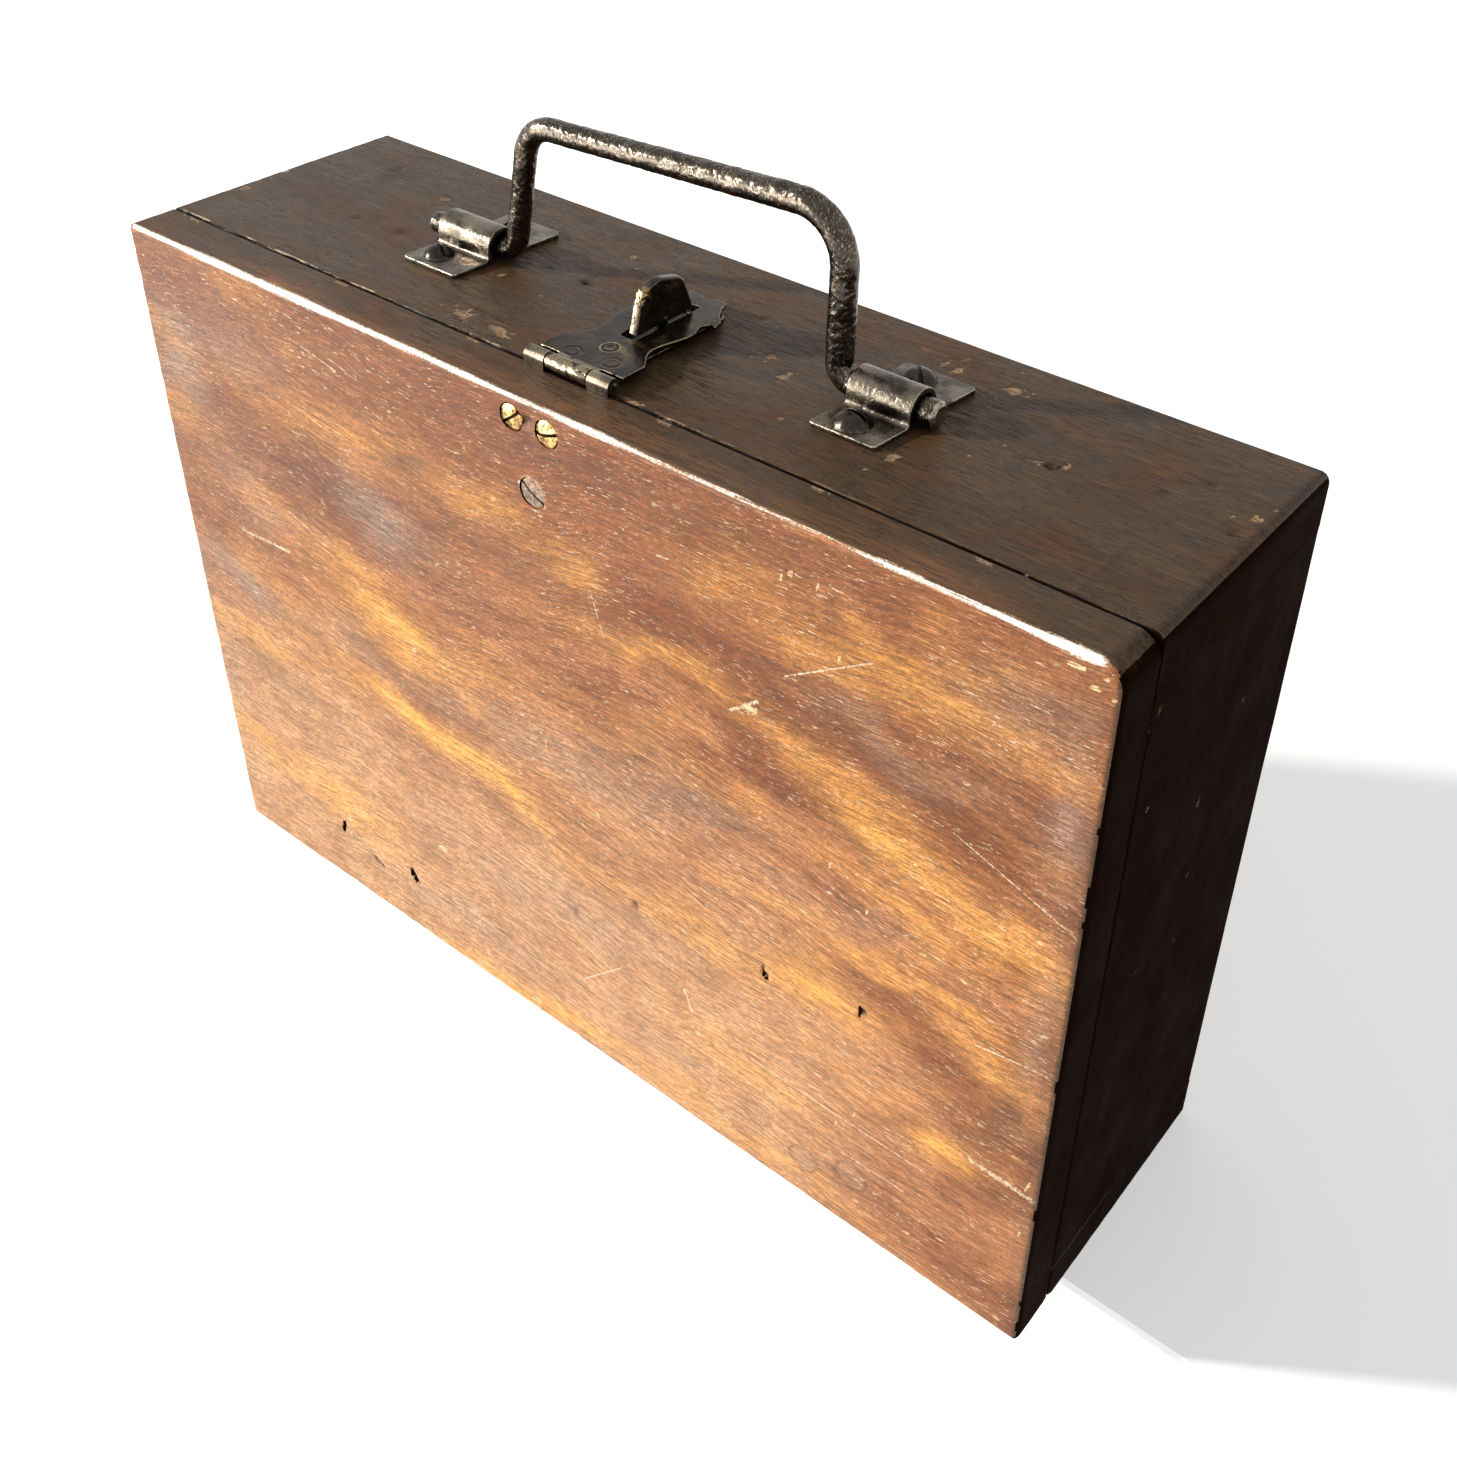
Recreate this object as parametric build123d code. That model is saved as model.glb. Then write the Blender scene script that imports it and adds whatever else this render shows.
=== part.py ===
from build123d import *

import math
import os

# Wooden shoe shine box: a nailed board carcass with a drop-down front lid, a swinging
# forged handle in two saddles, and a hasp that a turn knob holds shut.
#
# Millimetres. +X runs along the box to the right, +Y to the back, +Z up. The origin is on
# the bottom plane, in the middle of the box seen from above.

# ---- boards ------------------------------------------------------------------------------
BOX_WIDTH = 356.0        # left end to right end, 14 in
BOX_HEIGHT = 250.0       # bottom plane to the top of the boards
LID_THICKNESS = 16.0     # the whole front board is the lid
SEAM = 1.0               # open line between the lid and the carcass
CARCASS_DEPTH = 87.4     # front edge of the carcass boards to the back
BOARD_THICKNESS = 16.0   # top, bottom and both ends
BACK_THICKNESS = 8.0     # back panel, let in flush
REBATE_WIDTH = 8.0       # ledge in the boards that the back panel lies on
LID_CORNER = 7.0         # worn top right corner of the lid
LID_CORNER_SMALL = 3.6   # its other three corners
LID_EDGE = 2.0           # rounding around the lid's front face
TOP_END_ROUND = 3.4      # rounding of the top board's two ends
SNUG = 0.03              # between a nail or screw and its hole, all round
PAST = 1.0               # how far a cut reaches beyond the face that it opens

# ---- lid hinges --------------------------------------------------------------------------
HINGE_LENGTH = 50.0
HINGE_LEFT_INSET = 75.2  # end of the box to the middle of the left hinge
HINGE_RIGHT_INSET = 80.0
KNUCKLE_RADIUS = 2.7
KNUCKLE_COUNT = 5
HINGE_PIN_RADIUS = 1.3
RUNNING = 0.05           # radial clearance of a pin that turns
LEAF_THICKNESS = 1.4
LID_LEAF_WIDTH = 29.0    # pin centre to the leaf's far edge
CASE_LEAF_MARGIN = 1.6   # wood left above the leaf on the bottom board
KNUCKLE_GAP = 0.3        # between neighbouring knuckles, and round them in the wood
POCKET_ROOM = 0.4        # between a barrel and the wood that it turns in
BARREL_LIFT = 0.15       # a hinge barrel clears the plane below it by this
OPENING_ANGLE = 100.0    # how far the lid drops
BEVEL_SPARE = 4.0        # extra angle in the groove below the seam
BEVEL_RISE = 0.3         # the groove's walls start this far above the pin
HINGE_HOLE_PITCH = 17.0
LID_HOLE_NEAR = 15.5     # middle screw, above the pin
LID_HOLE_FAR = 22.5      # outer screws, above the pin
CASE_HOLE_RISE = 6.6     # screws in the bottom board's edge, above the pin
HINGE_SCREW = dict(head_radius=3.1, shank_radius=1.8, length=13.0)
HINGE_SCREW_SLOT = 0.8

# ---- hasp --------------------------------------------------------------------------------
HASP_X = -1.4
HASP_SHEET = 1.2
HASP_KNUCKLE_RADIUS = 2.4
HASP_PIN_RADIUS = 1.1
HASP_BARREL = (7.6, 15.3, 8.0)   # left, middle and right knuckle
HASP_BARREL_GAP = 0.2
HASP_PIN_STANDOUT = 0.4
HASP_BASE_DROP = 35.0    # how far the fixed leaf reaches down inside the lid
HASP_LEAF_RISE = 1.05    # moving leaf's upper face, above the pin
HASP_LEAF_START = 3.9    # moving leaf's front edge, behind the pin
HASP_HALF_FRONT = 15.3   # half width of the moving leaf's wide front part
HASP_FRONT_LENGTH = 12.8   # pin to the end of the wide front part
HASP_SIDE = ((12.1, 16.8), (10.4, 22.6), (11.8, 28.8), (12.4, 37.0))   # waist, from the pin
HASP_TAIL = ((10.9, 40.2), (12.4, 43.2), (14.7, 42.3), (13.6, 46.0), (10.1, 50.0),
             (7.6, 53.9), (6.5, 56.9), (3.0, 56.9), (0.0, 55.4))   # hand-cut end of the leaf
SLOT_WIDTH = 6.0
SLOT_FRONT = 22.0        # pin to the slot's front end
SLOT_LENGTH = 27.8
SLOT_CORNER = 1.2
BRASS_SCREWS = ((-6.1, 7.0, 38.0), (7.0, 7.5, 13.0))   # right of the hasp, below the lid's top, turn
IRON_SCREW_DROP = 28.5
IRON_SCREW_TURN = -31.0
BRASS_SCREW = dict(head_radius=4.0, shank_radius=2.0)
BRASS_SCREW_SLOT = 1.0
IRON_SCREW = dict(head_radius=4.7, shank_radius=2.3)
IRON_SCREW_SLOT = 1.1
HEAD_RECESS = 0.2        # screw heads sit this far below the lid's face

# ---- turn knob ---------------------------------------------------------------------------
KNOB_SHIFT = (1.1, -0.7)   # off the middle of the slot, across and along it
KNOB_EDGE = 0.5          # rounding around the wing's two faces
KNOB_THICKNESS = 3.0
KNOB_LENGTH = 24.4
KNOB_HEIGHT = 13.8
KNOB_CORNERS = ((0.15, 0.9, 2.6), (0.46, 1.0, 6.0), (0.81, 0.84, 4.0))   # shares, rounding
KNOB_LEAF_GAP = 0.4      # under the wing, above the hasp leaf
KNOB_NECK_RADIUS = 1.8
KNOB_FOOT_RADIUS = 3.6
KNOB_FOOT_THICKNESS = 1.2
KNOB_FOOT_ROOM = 0.5     # round the foot and below it, in the top board
KNOB_PLATE_WIDTH = 18.0
KNOB_PLATE_LENGTH = 37.0
KNOB_PLATE_SHEET = 1.6
KNOB_PLATE_CORNER = 3.0
KNOB_PLATE_PITCH = 29.0  # between the plate's two screws
PLATE_SCREW = dict(head_radius=2.7, shank_radius=1.4, length=10.0)
PLATE_SCREW_SLOT = 0.7

# ---- handle ------------------------------------------------------------------------------
ROD_RADII = (3.4, 3.5, 3.85, 3.95)   # left foot, left corner, right corner, right foot
HANDLE_SETBACK = 41.0    # front edge of the carcass to the handle's pivot
ROD_LIFT = 0.3           # thickest end above the wood
ROD_LEFT_END = -99.6
ROD_RIGHT_END = 90.8
LEG_LEFT_FOOT = -64.0
LEG_LEFT_TOP = -54.9
LEG_RIGHT_FOOT = 57.8
LEG_RIGHT_TOP = 58.8
GRIP_LEFT_HEIGHT = 42.1  # grip's centre line above the pivot
GRIP_RIGHT_HEIGHT = 46.8
FOOT_LEFT_BEND = 7.5
FOOT_RIGHT_BEND = 5.4
GRIP_LEFT_BEND = 12.0
GRIP_RIGHT_BEND = 14.5

# ---- handle saddles ----------------------------------------------------------------------
SADDLE_SHEET = 1.5
SADDLE_PLAY = 0.65       # between the rod's thickest end and the inside of the arch
SADDLE_BEND = 1.4        # between the arch and its tabs
SADDLE_FRONT_TAB = 13.8  # flat part in front of the arch
# Each strap: middle and width of its arch, length of its back tab, how far the ends of its
# tabs flare beyond the arch on the left and right, cut corners, and its front and back
# screw: how far off the middle of their tab, and how far their slots are turned.
SADDLES = {
    "left": dict(centre=-81.1, width=22.2, back_tab=17.4, front=(-1.0, -0.6), back=(0.7, 1.4),
                 corners=(1.0, 0.7, 1.5, 1.5), screws=((-4.0, 0.6, -21.0), (0.0, 1.0, 60.0))),
    "right": dict(centre=75.0, width=20.5, back_tab=17.6, front=(-2.0, -1.1), back=(-1.4, 1.8),
                  corners=(0.8, 0.7, 1.5, 1.2), screws=((-2.5, -0.3, 0.0), (-2.8, 1.8, 134.0))),
}
ROUND_HEADS = {"left": (4.8, 3.2), "right": (5.6, 3.6)}   # radius and height of the heads
ROUND_SHANK_RADIUS = 2.0
ROUND_SHANK_LENGTH = 12.0
ROUND_SLOT = 1.3

# ---- nails -------------------------------------------------------------------------------
NAIL_RADIUS = 1.25
NAIL_LENGTH = 38.0
NAIL_HEAD_RADIUS = 2.4
NAIL_HEAD_THICKNESS = 1.0
NAIL_SET = 1.4           # heads are punched this far below the surface and stopped
NAIL_INSET = 14.0        # first and last nail, from the board's front and the back panel
PIN_RADIUS = 0.8
PIN_LENGTH = 18.0
PIN_HEAD_RADIUS = 1.7
PIN_HEAD_THICKNESS = 0.6
BACK_PIN_COLUMNS = 4
BACK_PIN_ROWS = 2

# ---- places worked out from the sizes ----------------------------------------------------
BOX_DEPTH = LID_THICKNESS + SEAM + CARCASS_DEPTH
Y_FRONT = -BOX_DEPTH / 2
Y_LID_BACK = Y_FRONT + LID_THICKNESS
Y_CASE = Y_LID_BACK + SEAM
Y_BACK = BOX_DEPTH / 2
X_END = BOX_WIDTH / 2
X_INSIDE = X_END - BOARD_THICKNESS
Z_TOP_BOARD = BOX_HEIGHT - BOARD_THICKNESS

HINGE_CENTRES = (-X_END + HINGE_LEFT_INSET, X_END - HINGE_RIGHT_INSET)
HINGE_Y = (Y_LID_BACK + Y_CASE) / 2
HINGE_Z = KNUCKLE_RADIUS + BARREL_LIFT
CASE_LEAF_WIDTH = BOARD_THICKNESS - HINGE_Z - CASE_LEAF_MARGIN
POCKET_RADIUS = KNUCKLE_RADIUS + POCKET_ROOM
BEVEL_ANGLE = math.radians((OPENING_ANGLE + BEVEL_SPARE) / 2)
BEVEL_HEIGHT = HINGE_Z + BEVEL_RISE

HASP_BASE_WIDTH = sum(HASP_BARREL) + 2 * HASP_BARREL_GAP
HASP_Y = Y_LID_BACK - HASP_SHEET + HASP_KNUCKLE_RADIUS
HASP_Z = BOX_HEIGHT + HASP_KNUCKLE_RADIUS + BARREL_LIFT
HASP_LEAF_TOP = HASP_Z + HASP_LEAF_RISE
SLOT_MIDDLE = HASP_Y + SLOT_FRONT + SLOT_LENGTH / 2
KNOB_X = HASP_X + KNOB_SHIFT[0]
KNOB_Y = SLOT_MIDDLE + KNOB_SHIFT[1]

PIVOT_Y = Y_CASE + HANDLE_SETBACK
PIVOT_Z = BOX_HEIGHT + max(ROD_RADII) + ROD_LIFT
ARCH_INSIDE = max(ROD_RADII) + SADDLE_PLAY
ARCH_OUTSIDE = ARCH_INSIDE + SADDLE_SHEET


# ---- shared shapes -----------------------------------------------------------------------
def block(x0, x1, y0, y1, z0, z1):
    """A box between two corners."""
    return Pos((x0 + x1) / 2, (y0 + y1) / 2, (z0 + z1) / 2) * Box(x1 - x0, y1 - y0, z1 - z0)


def rod_x(radius, x0, x1, y, z):
    """A cylinder along X."""
    return Pos((x0 + x1) / 2, y, z) * Rot(0, 90, 0) * Cylinder(radius, x1 - x0)


def prism_x(points, x0, x1):
    """A prism along X over a closed outline of (y, z) points."""
    outline = make_face(Polyline(*[(x0, y, z) for y, z in points], close=True))
    return extrude(outline, amount=x1 - x0, dir=(1, 0, 0))


def countersunk_screw(head_radius, shank_radius, length, slot=0.0, extra=0.0):
    """A screw that points down -Z, with its flat head's top at the origin."""
    head_height = head_radius - shank_radius
    radius = shank_radius + extra
    screw = Pos(0, 0, -length / 2) * Cylinder(radius, length)
    screw += Pos(0, 0, -head_height / 2) * Cone(radius, head_radius + extra, head_height)
    if slot:
        screw -= Box(4 * head_radius, slot, head_height)
    return screw


def screw_hole(head_radius, shank_radius, length):
    """What a countersunk screw takes out of the piece that it goes into."""
    hole = countersunk_screw(head_radius, shank_radius, length, extra=SNUG)
    return hole + Pos(0, 0, PAST / 2) * Cylinder(head_radius + SNUG, PAST)


def nail(radius, length, head_radius, head_thickness, extra=0.0):
    """A nail that points down -Z, with its head's top at the origin."""
    shank = Pos(0, 0, -length / 2) * Cylinder(radius + extra, length)
    return shank + Pos(0, 0, -head_thickness / 2) * Cylinder(head_radius + extra, head_thickness)


def at_each(places, shape):
    """Copies of one shape, one at each location."""
    return [place * shape for place in places]


def cut_all(piece, tools):
    """The piece with every tool taken out of it."""
    for tool in tools:
        piece -= tool
    return piece


def round_edges(piece, direction, corners, radius):
    """Rounds the edges along one axis that pass through the given points."""
    for corner in corners:
        edge = piece.edges().filter_by(direction).sort_by_distance(corner)[0]
        piece = fillet(edge, radius)
    return piece


# ---- places of the fasteners -------------------------------------------------------------
def facing_back(x, y, z):
    """Where a screw is driven towards the front, its head facing +Y."""
    return Pos(x, y, z) * Rot(-90, 0, 0)


def facing_front(x, y, z):
    """Where a screw is driven towards the back, its head facing -Y."""
    return Pos(x, y, z) * Rot(90, 0, 0)


HINGE_COLUMNS = (-HINGE_HOLE_PITCH, 0.0, HINGE_HOLE_PITCH)
LID_HINGE_SCREWS = [
    facing_back(x + dx, Y_LID_BACK, HINGE_Z + (LID_HOLE_FAR if dx else LID_HOLE_NEAR))
    for x in HINGE_CENTRES for dx in HINGE_COLUMNS]
CASE_HINGE_SCREWS = [
    facing_front(x + dx, Y_CASE, HINGE_Z + CASE_HOLE_RISE)
    for x in HINGE_CENTRES for dx in HINGE_COLUMNS]
BRASS_PLACES = [
    facing_front(HASP_X + dx, Y_FRONT + HEAD_RECESS, BOX_HEIGHT - drop) * Rot(0, 0, turn)
    for dx, drop, turn in BRASS_SCREWS]
IRON_PLACE = facing_front(HASP_X, Y_FRONT + HEAD_RECESS,
                          BOX_HEIGHT - IRON_SCREW_DROP) * Rot(0, 0, IRON_SCREW_TURN)
LID_SCREW_LENGTH = LID_THICKNESS - HEAD_RECESS
PLATE_SCREWS = [Pos(KNOB_X, KNOB_Y + side * KNOB_PLATE_PITCH / 2, BOX_HEIGHT + KNOB_PLATE_SHEET)
                for side in (-1, 1)]


def saddle_screw_places(centre, back_tab, screws):
    """Where a saddle's two screws stand on its tabs, front and back."""
    front_y = PIVOT_Y - ARCH_OUTSIDE - SADDLE_FRONT_TAB / 2
    back_y = PIVOT_Y + ARCH_OUTSIDE + back_tab / 2
    return [Pos(centre + dx, y + dy, BOX_HEIGHT + SADDLE_SHEET) * Rot(0, 0, turn)
            for y, (dx, dy, turn) in zip((front_y, back_y), screws)]


SADDLE_SCREWS = {name: saddle_screw_places(strap["centre"], strap["back_tab"], strap["screws"])
                 for name, strap in SADDLES.items()}

NAIL_FIRST = Y_CASE + NAIL_INSET
NAIL_LAST = Y_BACK - BACK_THICKNESS - NAIL_INSET
CARCASS_NAILS = [(side * (X_END - BOARD_THICKNESS / 2), y)
                 for side in (-1, 1) for y in (NAIL_FIRST, (NAIL_FIRST + NAIL_LAST) / 2, NAIL_LAST)]
TOP_NAILS = [Pos(x, y, BOX_HEIGHT - NAIL_SET) for x, y in CARCASS_NAILS]
BOTTOM_NAILS = [Pos(x, y, NAIL_SET) * Rot(180, 0, 0) for x, y in CARCASS_NAILS]

PANEL_X = X_INSIDE + REBATE_WIDTH
PANEL_LOW = BOARD_THICKNESS - REBATE_WIDTH
PANEL_HIGH = BOX_HEIGHT - PANEL_LOW
PIN_X = PANEL_X - REBATE_WIDTH / 2
PIN_LOW = PANEL_LOW + REBATE_WIDTH / 2
PIN_HIGH = PANEL_HIGH - REBATE_WIDTH / 2
BACK_PINS = [
    facing_back(PIN_X * (2 * (i + 0.5) / BACK_PIN_COLUMNS - 1), Y_BACK, z)
    for z in (PIN_LOW, PIN_HIGH) for i in range(BACK_PIN_COLUMNS)]
BACK_PINS += [
    facing_back(side * PIN_X, Y_BACK, PIN_LOW + (PIN_HIGH - PIN_LOW) * (i + 0.5) / BACK_PIN_ROWS)
    for side in (-1, 1) for i in range(BACK_PIN_ROWS)]


# ---- boards ------------------------------------------------------------------------------
def nail_holes(places):
    return at_each(places, nail(NAIL_RADIUS, NAIL_LENGTH, NAIL_HEAD_RADIUS,
                                NAIL_HEAD_THICKNESS, extra=SNUG))


def pin_holes():
    return at_each(BACK_PINS, nail(PIN_RADIUS, PIN_LENGTH, PIN_HEAD_RADIUS,
                                   PIN_HEAD_THICKNESS, extra=SNUG))


def panel_recess():
    """The space of the back panel, which the boards are rebated for."""
    return block(-PANEL_X, PANEL_X, Y_BACK - BACK_THICKNESS, Y_BACK + PAST,
                 PANEL_LOW, PANEL_HIGH)


def groove_half(y_face, side):
    """One wall of the groove under the seam; side is -1 on the lid and 1 on the carcass."""
    run = BEVEL_HEIGHT * math.tan(BEVEL_ANGLE)
    outside = y_face - side * PAST
    outline = [(outside, BEVEL_HEIGHT), (y_face, BEVEL_HEIGHT), (y_face + side * run, 0),
               (y_face + side * run, -PAST), (outside, -PAST)]
    return prism_x(outline, -X_END - PAST, X_END + PAST)


def hinge_pockets(y_face, side, leaf_width):
    """Room for the barrels, and the mortises that the leaves lie in."""
    tools = []
    for x in HINGE_CENTRES:
        half = HINGE_LENGTH / 2 + KNUCKLE_GAP
        tools.append(rod_x(POCKET_RADIUS, x - half, x + half, HINGE_Y, HINGE_Z))
        low, high = sorted((y_face - side * PAST, y_face + side * LEAF_THICKNESS))
        tools.append(block(x - half, x + half, low, high, -PAST, HINGE_Z + leaf_width + SNUG))
    return tools


def lid_board():
    board = block(-X_END, X_END, Y_FRONT, Y_LID_BACK, 0, BOX_HEIGHT)
    board = round_edges(board, Axis.Y, [(X_END, 0, BOX_HEIGHT)], LID_CORNER)
    small = [(-X_END, 0, BOX_HEIGHT), (-X_END, 0, 0), (X_END, 0, 0)]
    board = round_edges(board, Axis.Y, small, LID_CORNER_SMALL)
    board = fillet(board.faces().sort_by(Axis.Y)[0].edges(), LID_EDGE)
    board -= groove_half(Y_LID_BACK, -1)
    board = cut_all(board, hinge_pockets(Y_LID_BACK, -1, LID_LEAF_WIDTH))
    board = cut_all(board, at_each(LID_HINGE_SCREWS, screw_hole(**HINGE_SCREW)))
    board -= block(HASP_X - HASP_BASE_WIDTH / 2 - SNUG, HASP_X + HASP_BASE_WIDTH / 2 + SNUG,
                   Y_LID_BACK - HASP_SHEET, Y_LID_BACK + PAST,
                   BOX_HEIGHT - HASP_BASE_DROP - SNUG, BOX_HEIGHT + PAST)
    board = cut_all(board, at_each(BRASS_PLACES, screw_hole(length=LID_THICKNESS, **BRASS_SCREW)))
    return board - IRON_PLACE * screw_hole(length=LID_THICKNESS, **IRON_SCREW)


def top_board():
    board = block(-X_END, X_END, Y_CASE, Y_BACK, Z_TOP_BOARD, BOX_HEIGHT)
    board = round_edges(board, Axis.Y, [(-X_END, 0, BOX_HEIGHT), (X_END, 0, BOX_HEIGHT)],
                        TOP_END_ROUND)
    board -= panel_recess()
    board = cut_all(board, nail_holes(TOP_NAILS) + pin_holes())
    board = cut_all(board, at_each(PLATE_SCREWS, screw_hole(**PLATE_SCREW)))
    for places in SADDLE_SCREWS.values():
        board = cut_all(board, at_each(places, round_screw_hole()))
    recess = Cylinder(KNOB_FOOT_RADIUS + KNOB_FOOT_ROOM,
                      2 * (KNOB_FOOT_THICKNESS + KNOB_FOOT_ROOM))
    return board - Pos(KNOB_X, KNOB_Y, BOX_HEIGHT) * recess


def bottom_board():
    board = block(-X_END, X_END, Y_CASE, Y_BACK, 0, BOARD_THICKNESS)
    board -= panel_recess()
    board -= groove_half(Y_CASE, 1)
    board = cut_all(board, hinge_pockets(Y_CASE, 1, CASE_LEAF_WIDTH))
    board = cut_all(board, at_each(CASE_HINGE_SCREWS, screw_hole(**HINGE_SCREW)))
    return cut_all(board, nail_holes(BOTTOM_NAILS) + pin_holes())


def end_board(side):
    x0, x1 = sorted((side * X_INSIDE, side * X_END))
    board = block(x0, x1, Y_CASE, Y_BACK, BOARD_THICKNESS, Z_TOP_BOARD)
    board -= panel_recess()
    return cut_all(board, nail_holes(TOP_NAILS) + nail_holes(BOTTOM_NAILS) + pin_holes())


def back_panel():
    panel = block(-PANEL_X, PANEL_X, Y_BACK - BACK_THICKNESS, Y_BACK, PANEL_LOW, PANEL_HIGH)
    return cut_all(panel, pin_holes())


# ---- lid hinges --------------------------------------------------------------------------
def knuckle_spans(count, length, gap):
    """Start and end of each knuckle along a barrel that is centred on 0."""
    each = (length - (count - 1) * gap) / count
    starts = [-length / 2 + i * (each + gap) for i in range(count)]
    return [(start, start + each) for start in starts]


def hinge_leaf(x, side, width, rises, first):
    """A hinge leaf; side is -1 on the lid and 1 on the carcass, first its first knuckle."""
    y_near = HINGE_Y + side * SEAM / 2
    low, high = sorted((y_near, y_near + side * LEAF_THICKNESS))
    plate_bottom = HINGE_Z + KNUCKLE_RADIUS + KNUCKLE_GAP
    half = HINGE_LENGTH / 2
    leaf = block(x - half, x + half, low, high, plate_bottom, HINGE_Z + width)
    for x0, x1 in knuckle_spans(KNUCKLE_COUNT, HINGE_LENGTH, KNUCKLE_GAP)[first::2]:
        leaf += rod_x(KNUCKLE_RADIUS, x + x0, x + x1, HINGE_Y, HINGE_Z)
        leaf += block(x + x0, x + x1, low, high, HINGE_Z, plate_bottom)
    leaf -= rod_x(HINGE_PIN_RADIUS + RUNNING, x - half, x + half, HINGE_Y, HINGE_Z)
    place = facing_back if side < 0 else facing_front
    for dx, rise in zip(HINGE_COLUMNS, rises):
        leaf -= place(x + dx, y_near, HINGE_Z + rise) * screw_hole(**HINGE_SCREW)
    return leaf


def hinge_pin(x):
    return rod_x(HINGE_PIN_RADIUS, x - HINGE_LENGTH / 2, x + HINGE_LENGTH / 2, HINGE_Y, HINGE_Z)


# ---- hasp --------------------------------------------------------------------------------
def hasp_spans():
    """Start and end of the three knuckles along X."""
    x = HASP_X - HASP_BASE_WIDTH / 2
    spans = []
    for length in HASP_BARREL:
        spans.append((x, x + length))
        x += length + HASP_BARREL_GAP
    return spans


def hasp_base_leaf():
    """Fixed leaf inside the lid, rolled into the two outer knuckles."""
    left, _, right = hasp_spans()
    y0, y1 = Y_LID_BACK - HASP_SHEET, Y_LID_BACK
    leaf = block(HASP_X - HASP_BASE_WIDTH / 2, HASP_X + HASP_BASE_WIDTH / 2, y0, y1,
                 BOX_HEIGHT - HASP_BASE_DROP, BOX_HEIGHT - KNUCKLE_GAP)
    for x0, x1 in (left, right):
        leaf += block(x0, x1, y0, y1, BOX_HEIGHT - HASP_BASE_DROP / 2, HASP_Z)
        leaf += rod_x(HASP_KNUCKLE_RADIUS, x0, x1, HASP_Y, HASP_Z)
    leaf -= rod_x(HASP_PIN_RADIUS, left[0], right[1], HASP_Y, HASP_Z)
    leaf = cut_all(leaf, at_each(BRASS_PLACES, screw_hole(length=LID_THICKNESS, **BRASS_SCREW)))
    return leaf - IRON_PLACE * screw_hole(length=LID_THICKNESS, **IRON_SCREW)


def hasp_half_outline(side):
    """Outline of half the moving leaf from front to tail; side is 1 on the right."""
    def at(point):
        return HASP_X + side * point[0], HASP_Y + point[1]

    front = (HASP_HALF_FRONT, HASP_FRONT_LENGTH)
    lines = Polyline(at((0, HASP_LEAF_START)), at((HASP_HALF_FRONT, HASP_LEAF_START)), at(front),
                     at(HASP_SIDE[0]))
    waist = Spline(*[at(point) for point in HASP_SIDE])
    tail = Polyline(*[at(point) for point in (HASP_SIDE[-1],) + HASP_TAIL])
    return lines.edges() + waist.edges() + tail.edges()


def hasp_leaf():
    """Moving leaf with the slot that drops over the knob, rolled into the middle knuckle."""
    x0, x1 = hasp_spans()[1]
    outline = make_face(hasp_half_outline(1) + hasp_half_outline(-1))
    slot = fillet(Rectangle(SLOT_WIDTH, SLOT_LENGTH).vertices(), SLOT_CORNER)
    outline -= Pos(HASP_X, SLOT_MIDDLE) * slot
    z0 = HASP_LEAF_TOP - HASP_SHEET
    leaf = Pos(0, 0, z0) * extrude(outline, amount=HASP_SHEET, dir=(0, 0, 1))
    leaf += block(x0, x1, HASP_Y, HASP_Y + HASP_LEAF_START, z0, HASP_LEAF_TOP)
    leaf += rod_x(HASP_KNUCKLE_RADIUS, x0, x1, HASP_Y, HASP_Z)
    return leaf - rod_x(HASP_PIN_RADIUS + RUNNING, x0, x1, HASP_Y, HASP_Z)


def hasp_pin():
    left, _, right = hasp_spans()
    return rod_x(HASP_PIN_RADIUS, left[0] - HASP_PIN_STANDOUT, right[1] + HASP_PIN_STANDOUT,
                 HASP_Y, HASP_Z)


# ---- turn knob ---------------------------------------------------------------------------
def knob_plate():
    """Plate that holds the knob down, under the hasp leaf."""
    plate = Box(KNOB_PLATE_WIDTH, KNOB_PLATE_LENGTH, KNOB_PLATE_SHEET)
    plate = fillet(plate.edges().filter_by(Axis.Z), KNOB_PLATE_CORNER)
    plate -= Cylinder(KNOB_NECK_RADIUS + RUNNING, KNOB_PLATE_SHEET)
    plate = Pos(KNOB_X, KNOB_Y, BOX_HEIGHT + KNOB_PLATE_SHEET / 2) * plate
    return cut_all(plate, at_each(PLATE_SCREWS, screw_hole(**PLATE_SCREW)))


def turn_knob():
    """Wing on a round neck, riveted over under its plate."""
    z0 = HASP_LEAF_TOP + KNOB_LEAF_GAP
    y0, y1 = KNOB_Y - KNOB_LENGTH / 2, KNOB_Y + KNOB_LENGTH / 2
    corners = [(y0 + along * KNOB_LENGTH, z0 + up * KNOB_HEIGHT) for along, up, _ in KNOB_CORNERS]
    wing = prism_x([(y0, z0)] + corners + [(y1, z0)],
                   KNOB_X - KNOB_THICKNESS / 2, KNOB_X + KNOB_THICKNESS / 2)
    for (y, z), (_, _, rounding) in zip(corners, KNOB_CORNERS):
        wing = round_edges(wing, Axis.X, [(KNOB_X, y, z)], rounding)
    wing = fillet(wing.faces().filter_by(Axis.X).edges(), KNOB_EDGE)
    foot_top = BOX_HEIGHT - RUNNING
    neck_length = z0 + KNOB_THICKNESS / 2 - foot_top
    wing += Pos(KNOB_X, KNOB_Y, foot_top + neck_length / 2) * Cylinder(KNOB_NECK_RADIUS, neck_length)
    return wing + Pos(KNOB_X, KNOB_Y, foot_top - KNOB_FOOT_THICKNESS / 2) * Cylinder(
        KNOB_FOOT_RADIUS, KNOB_FOOT_THICKNESS)


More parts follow.
